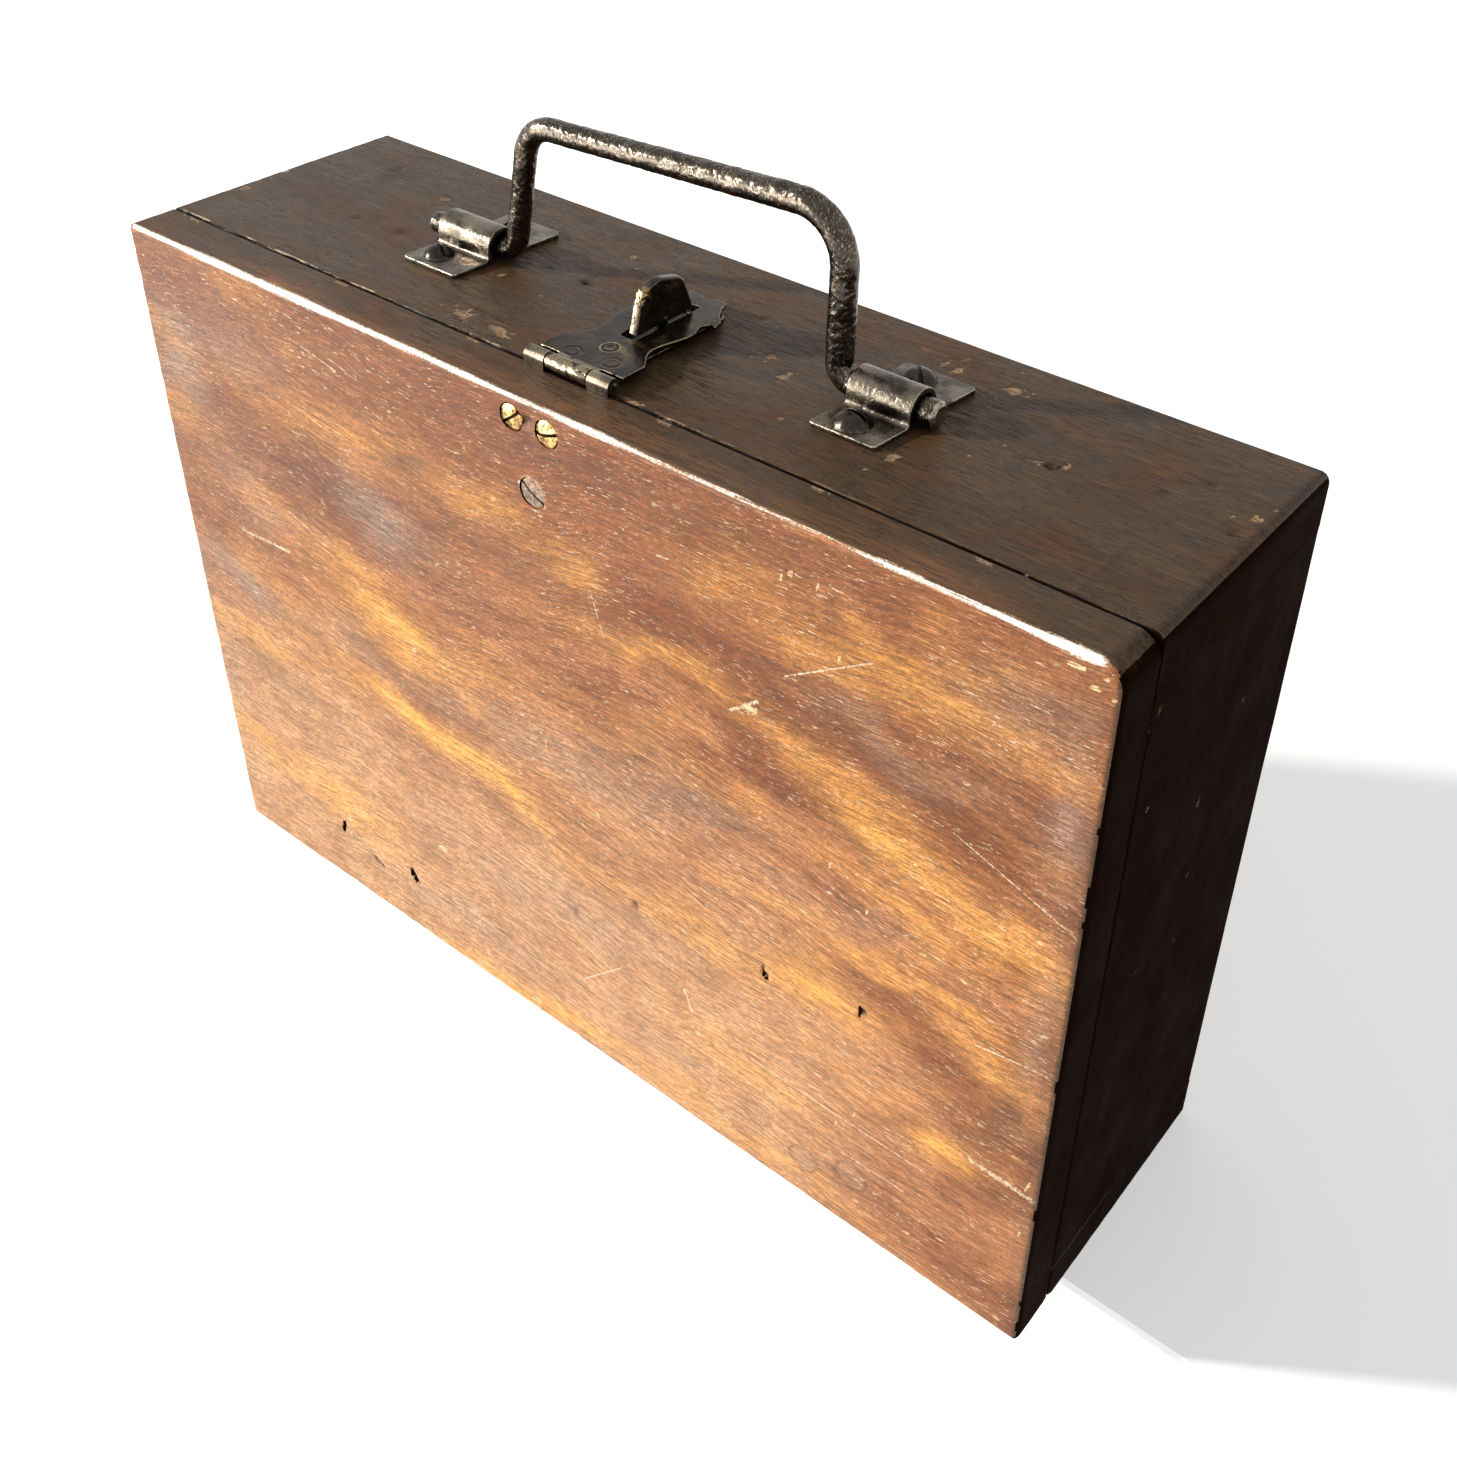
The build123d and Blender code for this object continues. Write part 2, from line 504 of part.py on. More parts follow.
# ---- handle ------------------------------------------------------------------------------
def handle_bail():
    """One forged rod: two ends in the saddles, two legs and the grip between them."""
    route = [(ROD_LEFT_END, 0), (LEG_LEFT_FOOT, 0), (LEG_LEFT_TOP, GRIP_LEFT_HEIGHT),
             (LEG_RIGHT_TOP, GRIP_RIGHT_HEIGHT), (LEG_RIGHT_FOOT, 0), (ROD_RIGHT_END, 0)]
    bends = [FOOT_LEFT_BEND, GRIP_LEFT_BEND, GRIP_RIGHT_BEND, FOOT_RIGHT_BEND]
    path = FilletPolyline(*[(x, PIVOT_Y, PIVOT_Z + z) for x, z in route], radius=bends)
    left_foot, left_corner, right_corner, right_foot = ROD_RADII
    radii = [left_foot, left_foot, left_foot, left_corner, left_corner,
             right_corner, right_corner, right_foot, right_foot, right_foot]
    rod = None
    for edge, start, end in zip(path.edges().sort_by(path), radii, radii[1:]):
        first = Plane(origin=edge @ 0, z_dir=edge % 0) * Circle(start)
        if edge.geom_type == GeomType.LINE and start != end:
            stretch = loft([first, Plane(origin=edge @ 1, z_dir=edge % 1) * Circle(end)])
        else:
            stretch = sweep(first, path=edge)
        rod = stretch if rod is None else rod + stretch
    return rod


def saddle(centre, width, back_tab, front, back, corners, screws):
    """Sheet strap bent over the rod, with a flat tab in front and behind."""
    x0, x1 = centre - width / 2, centre + width / 2
    y_front, y_back = PIVOT_Y - ARCH_OUTSIDE, PIVOT_Y + ARCH_OUTSIDE
    y0, y1 = y_front - SADDLE_FRONT_TAB, y_back + back_tab
    ends = [(x0 + front[0], y0), (x1 + front[1], y0), (x0 + back[0], y1), (x1 + back[1], y1)]
    plan = Polyline(ends[0], ends[1], (x1, y_front), (x1, y_back), ends[3], ends[2],
                    (x0, y_back), (x0, y_front), close=True)
    strap = extrude(make_face(plan), amount=SADDLE_SHEET, dir=(0, 0, 1))
    strap = Pos(0, 0, BOX_HEIGHT) * strap
    top = BOX_HEIGHT + SADDLE_SHEET
    for (x, y), size in zip(ends, corners):
        edge = strap.edges().filter_by(Axis.Z).sort_by_distance((x, y, top))[0]
        strap = chamfer(edge, size)
    strap += block(x0, x1, y_front, y_back, BOX_HEIGHT, PIVOT_Z)
    strap += rod_x(ARCH_OUTSIDE, x0, x1, PIVOT_Y, PIVOT_Z)
    feet = [(centre, y_front, top), (centre, y_back, top)]
    strap = round_edges(strap, Axis.X, feet, SADDLE_BEND)
    strap -= block(x0 - PAST, x1 + PAST, PIVOT_Y - ARCH_INSIDE, PIVOT_Y + ARCH_INSIDE,
                   BOX_HEIGHT - ARCH_OUTSIDE, PIVOT_Z)
    strap -= rod_x(ARCH_INSIDE, x0 - PAST, x1 + PAST, PIVOT_Y, PIVOT_Z)
    places = saddle_screw_places(centre, back_tab, screws)
    return cut_all(strap, at_each(places, round_screw_hole()))


def round_screw_hole():
    """What a round-head screw's shank takes out of the strap and the board below it."""
    return Cylinder(ROUND_SHANK_RADIUS + SNUG, 2 * (ROUND_SHANK_LENGTH + SNUG))


def round_screw(head_radius, head_height):
    """A round-head screw that points down -Z, its head resting at the origin."""
    ball_radius = (head_radius ** 2 + head_height ** 2) / (2 * head_height)
    head = Pos(0, 0, head_height - ball_radius) * Sphere(ball_radius)
    head &= Pos(0, 0, head_height) * Cylinder(2 * head_radius, 2 * head_height)
    head -= Pos(0, 0, head_height) * Box(4 * head_radius, ROUND_SLOT, 2 * head_height / 3)
    return head + Pos(0, 0, -ROUND_SHANK_LENGTH / 2) * Cylinder(ROUND_SHANK_RADIUS,
                                                               ROUND_SHANK_LENGTH)


# ---- every node --------------------------------------------------------------------------
def build_nodes():
    lid_rises = [LID_HOLE_FAR, LID_HOLE_NEAR, LID_HOLE_FAR]
    case_rises = [CASE_HOLE_RISE] * len(HINGE_COLUMNS)
    carcass_nail = nail(NAIL_RADIUS, NAIL_LENGTH, NAIL_HEAD_RADIUS, NAIL_HEAD_THICKNESS)
    back_pin = nail(PIN_RADIUS, PIN_LENGTH, PIN_HEAD_RADIUS, PIN_HEAD_THICKNESS)
    hinge_screw = countersunk_screw(slot=HINGE_SCREW_SLOT, **HINGE_SCREW)
    brass_screw = countersunk_screw(length=LID_SCREW_LENGTH, slot=BRASS_SCREW_SLOT, **BRASS_SCREW)
    iron_screw = countersunk_screw(length=LID_SCREW_LENGTH, slot=IRON_SCREW_SLOT, **IRON_SCREW)
    plate_screw = countersunk_screw(slot=PLATE_SCREW_SLOT, **PLATE_SCREW)
    nodes = {
        "case_top_board": top_board(),
        "case_bottom_board": bottom_board(),
        "case_left_end": end_board(-1),
        "case_right_end": end_board(1),
        "case_back_panel": back_panel(),
        "top_board_nails": Compound(children=at_each(TOP_NAILS, carcass_nail)),
        "bottom_board_nails": Compound(children=at_each(BOTTOM_NAILS, carcass_nail)),
        "back_panel_pins": Compound(children=at_each(BACK_PINS, back_pin)),
        "lid_board": lid_board(),
        "hinge_lid_screws": Compound(children=at_each(LID_HINGE_SCREWS, hinge_screw)),
        "hinge_case_screws": Compound(children=at_each(CASE_HINGE_SCREWS, hinge_screw)),
        "hasp_base_leaf": hasp_base_leaf(),
        "hasp_leaf": hasp_leaf(),
        "hasp_pin": hasp_pin(),
        "hasp_brass_screws": Compound(children=at_each(BRASS_PLACES, brass_screw)),
        "hasp_iron_screw": IRON_PLACE * iron_screw,
        "turn_knob": turn_knob(),
        "knob_plate": knob_plate(),
        "knob_plate_screws": Compound(children=at_each(PLATE_SCREWS, plate_screw)),
        "handle_bail": handle_bail(),
    }
    for name, hinge_x in zip(("left", "right"), HINGE_CENTRES):
        nodes[f"hinge_{name}_lid_leaf"] = hinge_leaf(hinge_x, -1, LID_LEAF_WIDTH, lid_rises, 1)
        nodes[f"hinge_{name}_case_leaf"] = hinge_leaf(hinge_x, 1, CASE_LEAF_WIDTH, case_rises, 0)
        nodes[f"hinge_{name}_pin"] = hinge_pin(hinge_x)
    for name, sizes in SADDLES.items():
        nodes[f"handle_saddle_{name}"] = saddle(**sizes)
        nodes[f"saddle_screws_{name}"] = Compound(children=at_each(
            SADDLE_SCREWS[name], round_screw(*ROUND_HEADS[name])))
    return nodes


def main():
    os.makedirs("parts", exist_ok=True)
    for name, shape in build_nodes().items():
        export_step(shape, f"parts/{name}.step")


if __name__ == "__main__":
    main()
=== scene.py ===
"""Dresses the wooden shoe shine box: stained and varnished boards, forged handle, hasp and knob."""

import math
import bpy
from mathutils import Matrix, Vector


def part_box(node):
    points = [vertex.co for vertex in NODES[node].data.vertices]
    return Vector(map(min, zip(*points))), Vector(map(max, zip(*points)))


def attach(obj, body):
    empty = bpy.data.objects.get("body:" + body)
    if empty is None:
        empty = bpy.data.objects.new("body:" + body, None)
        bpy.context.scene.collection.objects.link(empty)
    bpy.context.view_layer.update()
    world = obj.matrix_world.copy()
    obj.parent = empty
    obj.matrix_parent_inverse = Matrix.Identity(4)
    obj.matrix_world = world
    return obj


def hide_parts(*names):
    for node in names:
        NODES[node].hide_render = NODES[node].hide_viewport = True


bl_info = {
    "name": "Shoe shine box",
    "version": (1, 0, 0),
    "blender": (4, 5, 0),
    "location": "View3D > Sidebar > Shoe box",
    "description": "Boards, hardware and finishes of a wooden shoe shine box",
    "category": "Object",
}

import bmesh
import bpy
import numpy as np
from mathutils import Matrix, Vector

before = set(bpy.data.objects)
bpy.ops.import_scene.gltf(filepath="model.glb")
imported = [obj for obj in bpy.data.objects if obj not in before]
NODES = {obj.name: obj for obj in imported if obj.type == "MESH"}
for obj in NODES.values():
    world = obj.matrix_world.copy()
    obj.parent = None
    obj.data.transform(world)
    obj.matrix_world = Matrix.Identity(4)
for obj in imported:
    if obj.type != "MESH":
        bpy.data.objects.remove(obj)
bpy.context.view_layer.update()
MM = 0.001

LID_LOW, LID_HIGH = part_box("lid_board")
TOP_LOW, TOP_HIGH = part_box("case_top_board")
BOTTOM_LOW, BOTTOM_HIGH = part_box("case_bottom_board")
CORNER = Vector((LID_LOW.x, LID_LOW.y, 0.0))      # lower left corner of the lid's front
TOP_Z = TOP_HIGH.z


# ---- sizes and colours that a user would change ------------------------------------------
def length(name, text, default):
    return bpy.props.FloatProperty(name=name, description=text, default=default, min=0.0,
                                   soft_max=1.0, unit="LENGTH", precision=5)


def share(name, text, default, top=1.0):
    return bpy.props.FloatProperty(name=name, description=text, default=default, min=0.0, max=top)


def paint(name, text, default):
    return bpy.props.FloatVectorProperty(name=name, description=text, default=default, size=3,
                                         subtype="COLOR", min=0.0, max=1.0)


class ShoeBoxWood(bpy.types.PropertyGroup):
    """Colours and finish of the boards."""
    # Besides their stain, lid dark darkens the face towards the top and lid tan lightens it towards the
    # bottom, partly as painted light reflected up from the floor.
    lid_red: paint("Lid stain", "Reddish brown of the lid's face", (0.465, 0.187, 0.066))
    lid_dark: paint("Lid dark", "Darkest stain on the lid", (0.225, 0.062, 0.014))
    lid_orange: paint("Lid orange", "Where the stain has worn thin", (1.0, 0.46, 0.1))
    lid_grey: paint("Lid grey", "Dull worn patches", (0.46, 0.325, 0.245))
    lid_tan: paint("Lid tan", "Faded stain towards the bottom", (0.74, 0.4, 0.19))
    case_brown: paint("Case brown", "Dark varnish of the case", (0.086, 0.0465, 0.0195))
    # Side brown is painted shade: the ends' brown darkened nearly to black, as an end in shade looks.
    side_brown_in_shade: paint("Side brown", "Nearly black varnish of the ends", (0.0098, 0.0032, 0.0011))
    bare: paint("Bare wood", "Wood under the varnish", (0.9, 0.68, 0.4))
    inside: paint("Inside wood", "Unpainted wood inside", (0.36, 0.22, 0.12))
    grain_height: length("Grain relief", "Height of the grain on the boards", 0.00006)
    edge_wear: share("Edge wear", "How far the edges are worn", 0.6)


class ShoeBoxMetal(bpy.types.PropertyGroup):
    """Colours and finish of the hardware."""
    steel_dark: paint("Dark steel", "Old black skin on the steel", (0.022, 0.018, 0.015))
    steel_bright: paint("Bright steel", "Steel rubbed bright", (0.52, 0.46, 0.37))
    rust: paint("Rust", "Rust in the pits", (0.16, 0.065, 0.03))
    brass: paint("Brass", "Brass of the lid's two screws", (0.85, 0.6, 0.24))
    pit_depth: length("Pit depth", "Depth of the pits in the forged steel", 0.00012)
    sheet_voxel: length("Sheet grid", "Grid that sheet metal pieces are made on", 0.00024)


class ShoeBoxHandle(bpy.types.PropertyGroup):
    """The forged rod handle."""
    left_leg_foot: length("Left leg, foot", "Middle of the box to the left leg's foot", 0.0640)
    left_leg_top: length("Left leg, top", "Middle of the box to the left leg's top", 0.0549)
    right_leg_foot: length("Right leg, foot", "Middle of the box to the right leg's foot", 0.0578)
    right_leg_top: length("Right leg, top", "Middle of the box to the right leg's top", 0.0588)
    left_height: length("Left height", "Pivot to the grip's middle at the left", 0.0421)
    right_height: length("Right height", "Pivot to the grip's middle at the right", 0.0468)
    foot_left_bend: length("Left foot bend", "Radius of the left foot's bend", 0.0075)
    grip_left_bend: length("Left grip bend", "Radius of the left upper bend", 0.0120)
    grip_right_bend: length("Right grip bend", "Radius of the right upper bend", 0.0145)
    foot_right_bend: length("Right foot bend", "Radius of the right foot's bend", 0.0054)
    rod_left: length("Rod, left", "Radius of the rod at its left end", 0.0034)
    rod_right: length("Rod, right", "Radius of the rod at its right end", 0.00395)


class ShoeBoxStage(bpy.types.PropertyGroup):
    """Camera, lamps and floor."""
    sun: bpy.props.FloatProperty(name="Key lamp", description="Strength of the low key lamp", default=4.4)
    softbox: bpy.props.FloatProperty(name="Soft box", default=20.0, min=0.0,
                                     description="Watts of the lamp that only gloss and metal show")
    world: share("World light", "Strength of the soft light all round", 0.42, 2.0)
    floor: paint("Floor", "Colour of the floor", (0.82, 0.82, 0.82))
    step: length("Step", "Height of the floor's step, which the open lid hangs over", 0.15)
    lens: bpy.props.FloatProperty(name="Lens", description="Focal length in millimetres", default=41.64)


# ---- noise and mesh helpers --------------------------------------------------------------
def value_noise(points, cells, seed=0):
    """Smooth noise from -1 to 1; cells is cells per metre, one number or one for each axis."""
    p = np.asarray(points) * np.asarray(cells, float) + 31.7 * seed
    base = np.floor(p).astype(np.int64)
    t = p - base
    t = t * t * (3 - 2 * t)
    total = np.zeros(len(p))
    for corner in range(8):
        step = np.array([corner & 1, corner >> 1 & 1, corner >> 2 & 1])
        x, y, z = (base + step).T
        h = (x * 374761393 + y * 668265263 + z * 1440662683 + seed * 974634777) & 0xFFFFFFFF
        h = ((h ^ (h >> 13)) * 1274126177) & 0xFFFFFFFF
        value = ((h ^ (h >> 16)) & 0xFFFF) / 32767.5 - 1
        total += value * np.prod(np.where(step, t, 1 - t), axis=1)
    return total


def rough_noise(points, cells, seed=0, octaves=3):
    """Noise with finer and fainter octaves on top."""
    cells = np.asarray(cells, float)
    return sum(value_noise(points, cells * 2 ** k, seed + k) / 2 ** k for k in range(octaves))


def smooth_step(value, low, high):
    """Eases from 0 at low to 1 at high; low may be the larger one."""
    t = np.clip((value - low) / (high - low), 0, 1)
    return t * t * (3 - 2 * t)


def mound(*parts):
    """1 in the middle, falling off round it; each part is a distance and the width it falls off over."""
    return np.exp(-sum((distance / width) ** 2 for distance, width in parts))


def vertex_array(mesh, field="co"):
    """A mesh's points, or its normals, one row for each vertex."""
    values = np.empty(len(mesh.vertices) * 3, np.float32)
    source = mesh.vertices if field == "co" else mesh.vertex_normals
    source.foreach_get("co" if field == "co" else "vector", values)
    return values.reshape(-1, 3).astype(float)


def set_vertices(mesh, points):
    mesh.vertices.foreach_set("co", np.asarray(points, np.float32).ravel())
    mesh.update()


def store(mesh, name, values):
    """Keeps one number per vertex for the materials to read."""
    attribute = mesh.attributes.get(name) or mesh.attributes.new(name, "FLOAT", "POINT")
    attribute.data.foreach_set("value", np.asarray(values, np.float32))


def convexity(mesh):
    """How far each vertex stands out from its neighbours, as a share of their distance."""
    points, normals = vertex_array(mesh), vertex_array(mesh, "normal")
    ends = np.empty(len(mesh.edges) * 2, np.int32)
    mesh.edges.foreach_get("vertices", ends)
    a, b = ends.reshape(-1, 2).T
    total, count, span = np.zeros_like(points), np.zeros(len(points)), np.zeros(len(points))
    reach = np.linalg.norm(points[a] - points[b], axis=1)
    for i, j in ((a, b), (b, a)):
        np.add.at(total, i, points[j])
        np.add.at(count, i, 1)
        np.add.at(span, i, reach)
    offset = points - total / np.maximum(count, 1)[:, None]
    return (offset * normals).sum(1) / np.maximum(span / np.maximum(count, 1), 1e-9)


def new_object(name, mesh):
    obj = bpy.data.objects.new(name, mesh)
    bpy.context.scene.collection.objects.link(obj)
    return obj


def mesh_object(name, points, faces):
    mesh = bpy.data.meshes.new(name)
    mesh.from_pydata([tuple(map(float, p)) for p in points], [], faces)
    mesh.update()
    return new_object(name, mesh)


def baked(obj):
    """Turns an object's modifiers into a plain mesh."""
    bpy.context.view_layer.update()
    mesh = bpy.data.meshes.new_from_object(obj.evaluated_get(bpy.context.evaluated_depsgraph_get()))
    obj.modifiers.clear()
    old, obj.data = obj.data, mesh
    bpy.data.meshes.remove(old)
    return obj


def outward(obj):
    """Merges doubles and points every face outwards."""
    bm = bmesh.new()
    bm.from_mesh(obj.data)
    bmesh.ops.remove_doubles(bm, verts=bm.verts, dist=1e-7)
    bmesh.ops.recalc_face_normals(bm, faces=bm.faces)
    bm.to_mesh(obj.data)
    bm.free()
    return obj


def smooth(obj, angle=40):
    """Smooth shading with sharp edges above an angle in degrees; 0 keeps none."""
    obj.data.shade_smooth()
    if angle:
        obj.data.set_sharp_from_angle(angle=math.radians(angle))
    return obj


def cad_copy(name, node):
    """A merged copy of a CAD node, ready for modifiers."""
    obj = new_object(name, NODES[node].data.copy())
    obj.data.materials.clear()
    return outward(obj)


def finish_piece(obj, material, slot, body, *nodes):
    """Gives a piece its finish and its body, and puts it in the place of its CAD nodes."""
    obj.data.materials.clear()
    obj.data.materials.append(material)
    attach(obj, body)
    if nodes:
        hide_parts(*nodes)
    return obj


def cut(obj, cutters):
    """Takes cutters, given as (points, faces), out of a piece."""
    points, faces = [], []
    for shape_points, shape_faces in cutters:
        start = len(points)
        points += list(shape_points)
        faces += [[start + i for i in face] for face in shape_faces]
    tool = outward(mesh_object("cutter", points, faces))
    modifier = obj.modifiers.new("cut", "BOOLEAN")
    modifier.object, modifier.operation, modifier.solver = tool, "DIFFERENCE", "EXACT"
    modifier.use_self = True
    baked(obj)
    bpy.data.objects.remove(tool)
    return obj


def box_shape(low, high):
    """Points and faces of a plain box."""
    points = [(x, y, z) for x in (low[0], high[0]) for y in (low[1], high[1]) for z in (low[2], high[2])]
    return points, [(0, 1, 3, 2), (4, 6, 7, 5), (0, 4, 5, 1), (2, 3, 7, 6), (0, 2, 6, 4), (1, 5, 7, 3)]


def rod_shape(axis, centre, radius, start, end, sides=32):
    """A rod along one axis; centre gives its place on the other two."""
    others = [a for a in range(3) if a != axis]
    points = []
    for along in (start, end):
        for i in range(sides):
            turn = 2 * math.pi * i / sides
            point = [0.0, 0.0, 0.0]
            point[axis] = along
            point[others[0]] = centre[0] + radius * math.cos(turn)
            point[others[1]] = centre[1] + radius * math.sin(turn)
            points.append(point)
    faces = [list(range(sides)), list(range(sides, 2 * sides))]
    faces += [(i, (i + 1) % sides, sides + (i + 1) % sides, sides + i) for i in range(sides)]
    return points, faces


# ---- boards ------------------------------------------------------------------------------
def grid_lines(size, cell, edge, zones=()):
    """Lines across a board, and how far each is dropped by the roundings at its two ends."""
    steps = 5
    turn = np.linspace(math.pi / 2, 0, steps + 1)
    low, high = edge
    marks = [low] + sorted(m for a, b, _ in zones for m in (a, b)) + [size - high]
    lines = []
    for a, b in zip(marks, marks[1:]):
        spacing = next((c for za, zb, c in zones if za <= (a + b) / 2 <= zb), cell)
        lines += list(np.linspace(a, b, max(2, round((b - a) / spacing) + 1))[:-1])
    inner, inset, drop = np.array(lines[1:]), 1 - np.sin(turn), 1 - np.cos(turn)
    place = np.concatenate([low * inset, inner, size - high * inset[::-1]])
    return place, np.concatenate([low * drop, 0 * inner, high * drop[::-1]])


def round_corners(u, v, size_u, size_v, radii):
    """Bends a square grid's corners round; radii are those at low-low, high-low, low-high, high-high."""
    for k, radius in enumerate(radii):
        if not radius:
            continue
        cu, su = (radius, -1) if k in (0, 2) else (size_u - radius, 1)
        cv, sv = (radius, -1) if k in (0, 1) else (size_v - radius, 1)
        du, dv = su * (u - cu), sv * (v - cv)
        inside = (du > 0) & (dv > 0)
        ratio = np.where(inside, np.maximum(du, dv) / np.maximum(np.hypot(du, dv), 1e-9), 1)
        u, v = np.where(inside, cu + su * du * ratio, u), np.where(inside, cv + sv * dv * ratio, v)
    return u, v


def board(name, low, high, axis, side, cell, edges, corners=(), zones=((), ()), rows=8):
    """A closed board: a fine grid on the face that looks along axis, wrapped over its rounded
    edges and down its sides to a flat back."""
    ua, va = [a for a in range(3) if a != axis]
    size_u, size_v, depth = high[ua] - low[ua], high[va] - low[va], high[axis] - low[axis]
    u, drop_u = grid_lines(size_u, cell, edges[0], zones[0])
    v, drop_v = grid_lines(size_v, cell, edges[1], zones[1])
    grid_u, grid_v = np.meshgrid(u, v, indexing="ij")
    drop = np.maximum(drop_u[:, None], drop_v[None, :])
    grid_u, grid_v = round_corners(grid_u, grid_v, size_u, size_v, corners)
    nu, nv = len(u), len(v)
    index = np.arange(nu * nv).reshape(nu, nv)
    faces = np.stack([index[:-1, :-1], index[1:, :-1], index[1:, 1:], index[:-1, 1:]], -1)
    faces = faces.reshape(-1, 4).tolist()
    ring = np.concatenate([index[:-1, 0], index[-1, :-1], index[:0:-1, -1], index[0, :0:-1]])
    flat = np.stack([grid_u.ravel(), grid_v.ravel(), drop.ravel()], -1)
    layers, last = [flat], ring
    for row in range(1, rows + 1):
        layer = flat[ring].copy()
        layer[:, 2] += (depth - layer[:, 2]) * (1 if row == rows else 0.975 * row / (rows - 1))
        layers.append(layer)
        start = nu * nv + (row - 1) * len(ring)
        here = np.arange(start, start + len(ring))
        faces += np.stack([last, here, np.roll(here, -1), np.roll(last, -1)], -1).tolist()
        last = here
    faces.append(last.tolist())
    local = np.concatenate(layers)
    points = np.empty_like(local)
    points[:, ua], points[:, va] = low[ua] + local[:, 0], low[va] + local[:, 1]
    points[:, axis] = high[axis] - local[:, 2] if side > 0 else low[axis] + local[:, 2]
    return outward(mesh_object(name, points, faces))


def in_patch(du, dv, half_u, half_v, turn):
    """A place in a turned patch, as shares of the patch's half widths, which are in millimetres."""
    c, s = math.cos(math.radians(turn)), math.sin(math.radians(turn))
    return (c * du + s * dv) / (half_u * MM), (c * dv - s * du) / (half_v * MM)


def blotches(points, spots, ua, va, warp=0.004, seed=3):
    """Soft worn patches: each spot is a middle, two half widths, a turn in degrees and a strength."""
    shift_u = warp * rough_noise(points, 45, seed)
    shift_v = warp * rough_noise(points, 45, seed + 5)
    total = np.zeros(len(points))
    for cu, cv, half_u, half_v, turn, strength in spots:
        du, dv = points[:, ua] + shift_u - cu * MM, points[:, va] + shift_v - cv * MM
        a, b = in_patch(du, dv, half_u, half_v, turn)
        total = np.maximum(total, strength * np.exp(-1.1 * (a * a + b * b)))
    return total


def chips(points, places, ua, va, seed=11):
    """Ragged chips, from 0 to 1; each place is a middle, a half width and how far it is drawn out."""
    ragged = 1 + 0.75 * rough_noise(points, 700, seed)
    total = np.zeros(len(points))
    for cu, cv, half, stretch in places:
        d = np.hypot((points[:, ua] - cu * MM) / stretch, points[:, va] - cv * MM) / (half * MM)
        total = np.maximum(total, 1 - smooth_step(d * ragged, 0.65, 1.0))
    return total


def on_lid(x, z):
    """A place on the lid's face, in metres, from millimetres across and up from its lower left corner."""
    return CORNER.x + x * MM, LID_LOW.y, z * MM


def on_top(x, y):
    """A place on the top, in metres, from millimetres across and back from the lid's front left corner."""
    return CORNER.x + x * MM, CORNER.y + y * MM, TOP_Z


def from_corner(spots):
    """Places measured from the lid's lower left corner, turned into the model's own."""
    return [(x + CORNER.x / MM, *rest) for x, *rest in spots]


def from_front(spots):
    """Places on the top, measured from the lid's front left corner."""
    return [(x + CORNER.x / MM, y + CORNER.y / MM, *rest) for x, y, *rest in spots]


# ---- materials ---------------------------------------------------------------------------
class Web:
    """Builds one node tree; every call places a node and returns its output."""

    def __init__(self, tree):
        self.tree = tree

    def add(self, kind, inputs=None, out=0, **settings):
        node = self.tree.nodes.new(kind)
        for key, value in settings.items():
            setattr(node, key, value)
        for key, value in (inputs or {}).items():
            if isinstance(value, bpy.types.NodeSocket):
                self.tree.links.new(value, node.inputs[key])
            else:
                node.inputs[key].default_value = value
        return node.outputs[out]

    def math(self, operation, a, b=0.0, c=0.0, clamp=False):
        return self.add("ShaderNodeMath", {0: a, 1: b, 2: c}, operation=operation, use_clamp=clamp)

    def times(self, a, b, clamp=False):
        return self.math("MULTIPLY", a, b, clamp=clamp)

    def plus(self, a, b, clamp=False):
        return self.math("ADD", a, b, clamp=clamp)

    def minus(self, a, b):
        return self.math("SUBTRACT", a, b)

    def most(self, a, b):
        return self.math("MAXIMUM", a, b)

    def about(self, value, share):
        """A noise's swing about its middle, scaled."""
        return self.times(self.minus(value, 0.5), share)

    def axes(self, place):
        """The three parts of a place."""
        return self.add("ShaderNodeSeparateXYZ", {0: place}).node.outputs

    def coords(self, stretch=(1, 1, 1), shift=(0, 0, 0)):
        place = self.add("ShaderNodeTexCoord", out=3)
        return self.add("ShaderNodeMapping", {"Vector": place, "Location": shift, "Scale": stretch})

    def noise(self, vector, scale, detail=3.0, roughness=0.55, distortion=0.0):
        return self.add("ShaderNodeTexNoise", {"Vector": vector, "Scale": scale, "Detail": detail,
                                               "Roughness": roughness, "Distortion": distortion})

    def span(self, value, low, high, to_low=0.0, to_high=1.0):
        """Eases a value from one range to another, and stops at its ends."""
        return self.add("ShaderNodeMapRange", {0: value, 1: low, 2: high, 3: to_low, 4: to_high},
                        interpolation_type="SMOOTHSTEP")

    def layer(self, axis, cells, shift=(0, 0, 0), detail=3.0, roughness=0.55, distortion=0.0):
        """Noise drawn out along the grain; cells is cells per metre along and across it."""
        return self.noise(self.coords(grain_stretch(axis, *cells), shift), 1.0, detail, roughness, distortion)

    def grit(self, shift, scale, detail=4.0, roughness=0.65):
        """Fine speckle."""
        return self.noise(self.coords(shift=shift), scale, detail, roughness)

    def mix(self, factor, a, b, mode="MIX"):
        a, b = [x if isinstance(x, bpy.types.NodeSocket) else (*x, 1.0) for x in (a, b)]
        return self.add("ShaderNodeMix", {0: factor, 6: a, 7: b}, out=2, data_type="RGBA", blend_type=mode)

    def blend(self, factor, a, b):
        return self.add("ShaderNodeMix", {0: factor, 2: a, 3: b}, data_type="FLOAT")

    def mask(self, name):
        return self.add("ShaderNodeAttribute", out=2, attribute_name=name)

    def bump(self, height, distance, strength=1.0, under=None):
        inputs = {"Height": height, "Distance": distance, "Strength": strength}
        if under is not None:
            inputs["Normal"] = under
        return self.add("ShaderNodeBump", inputs)


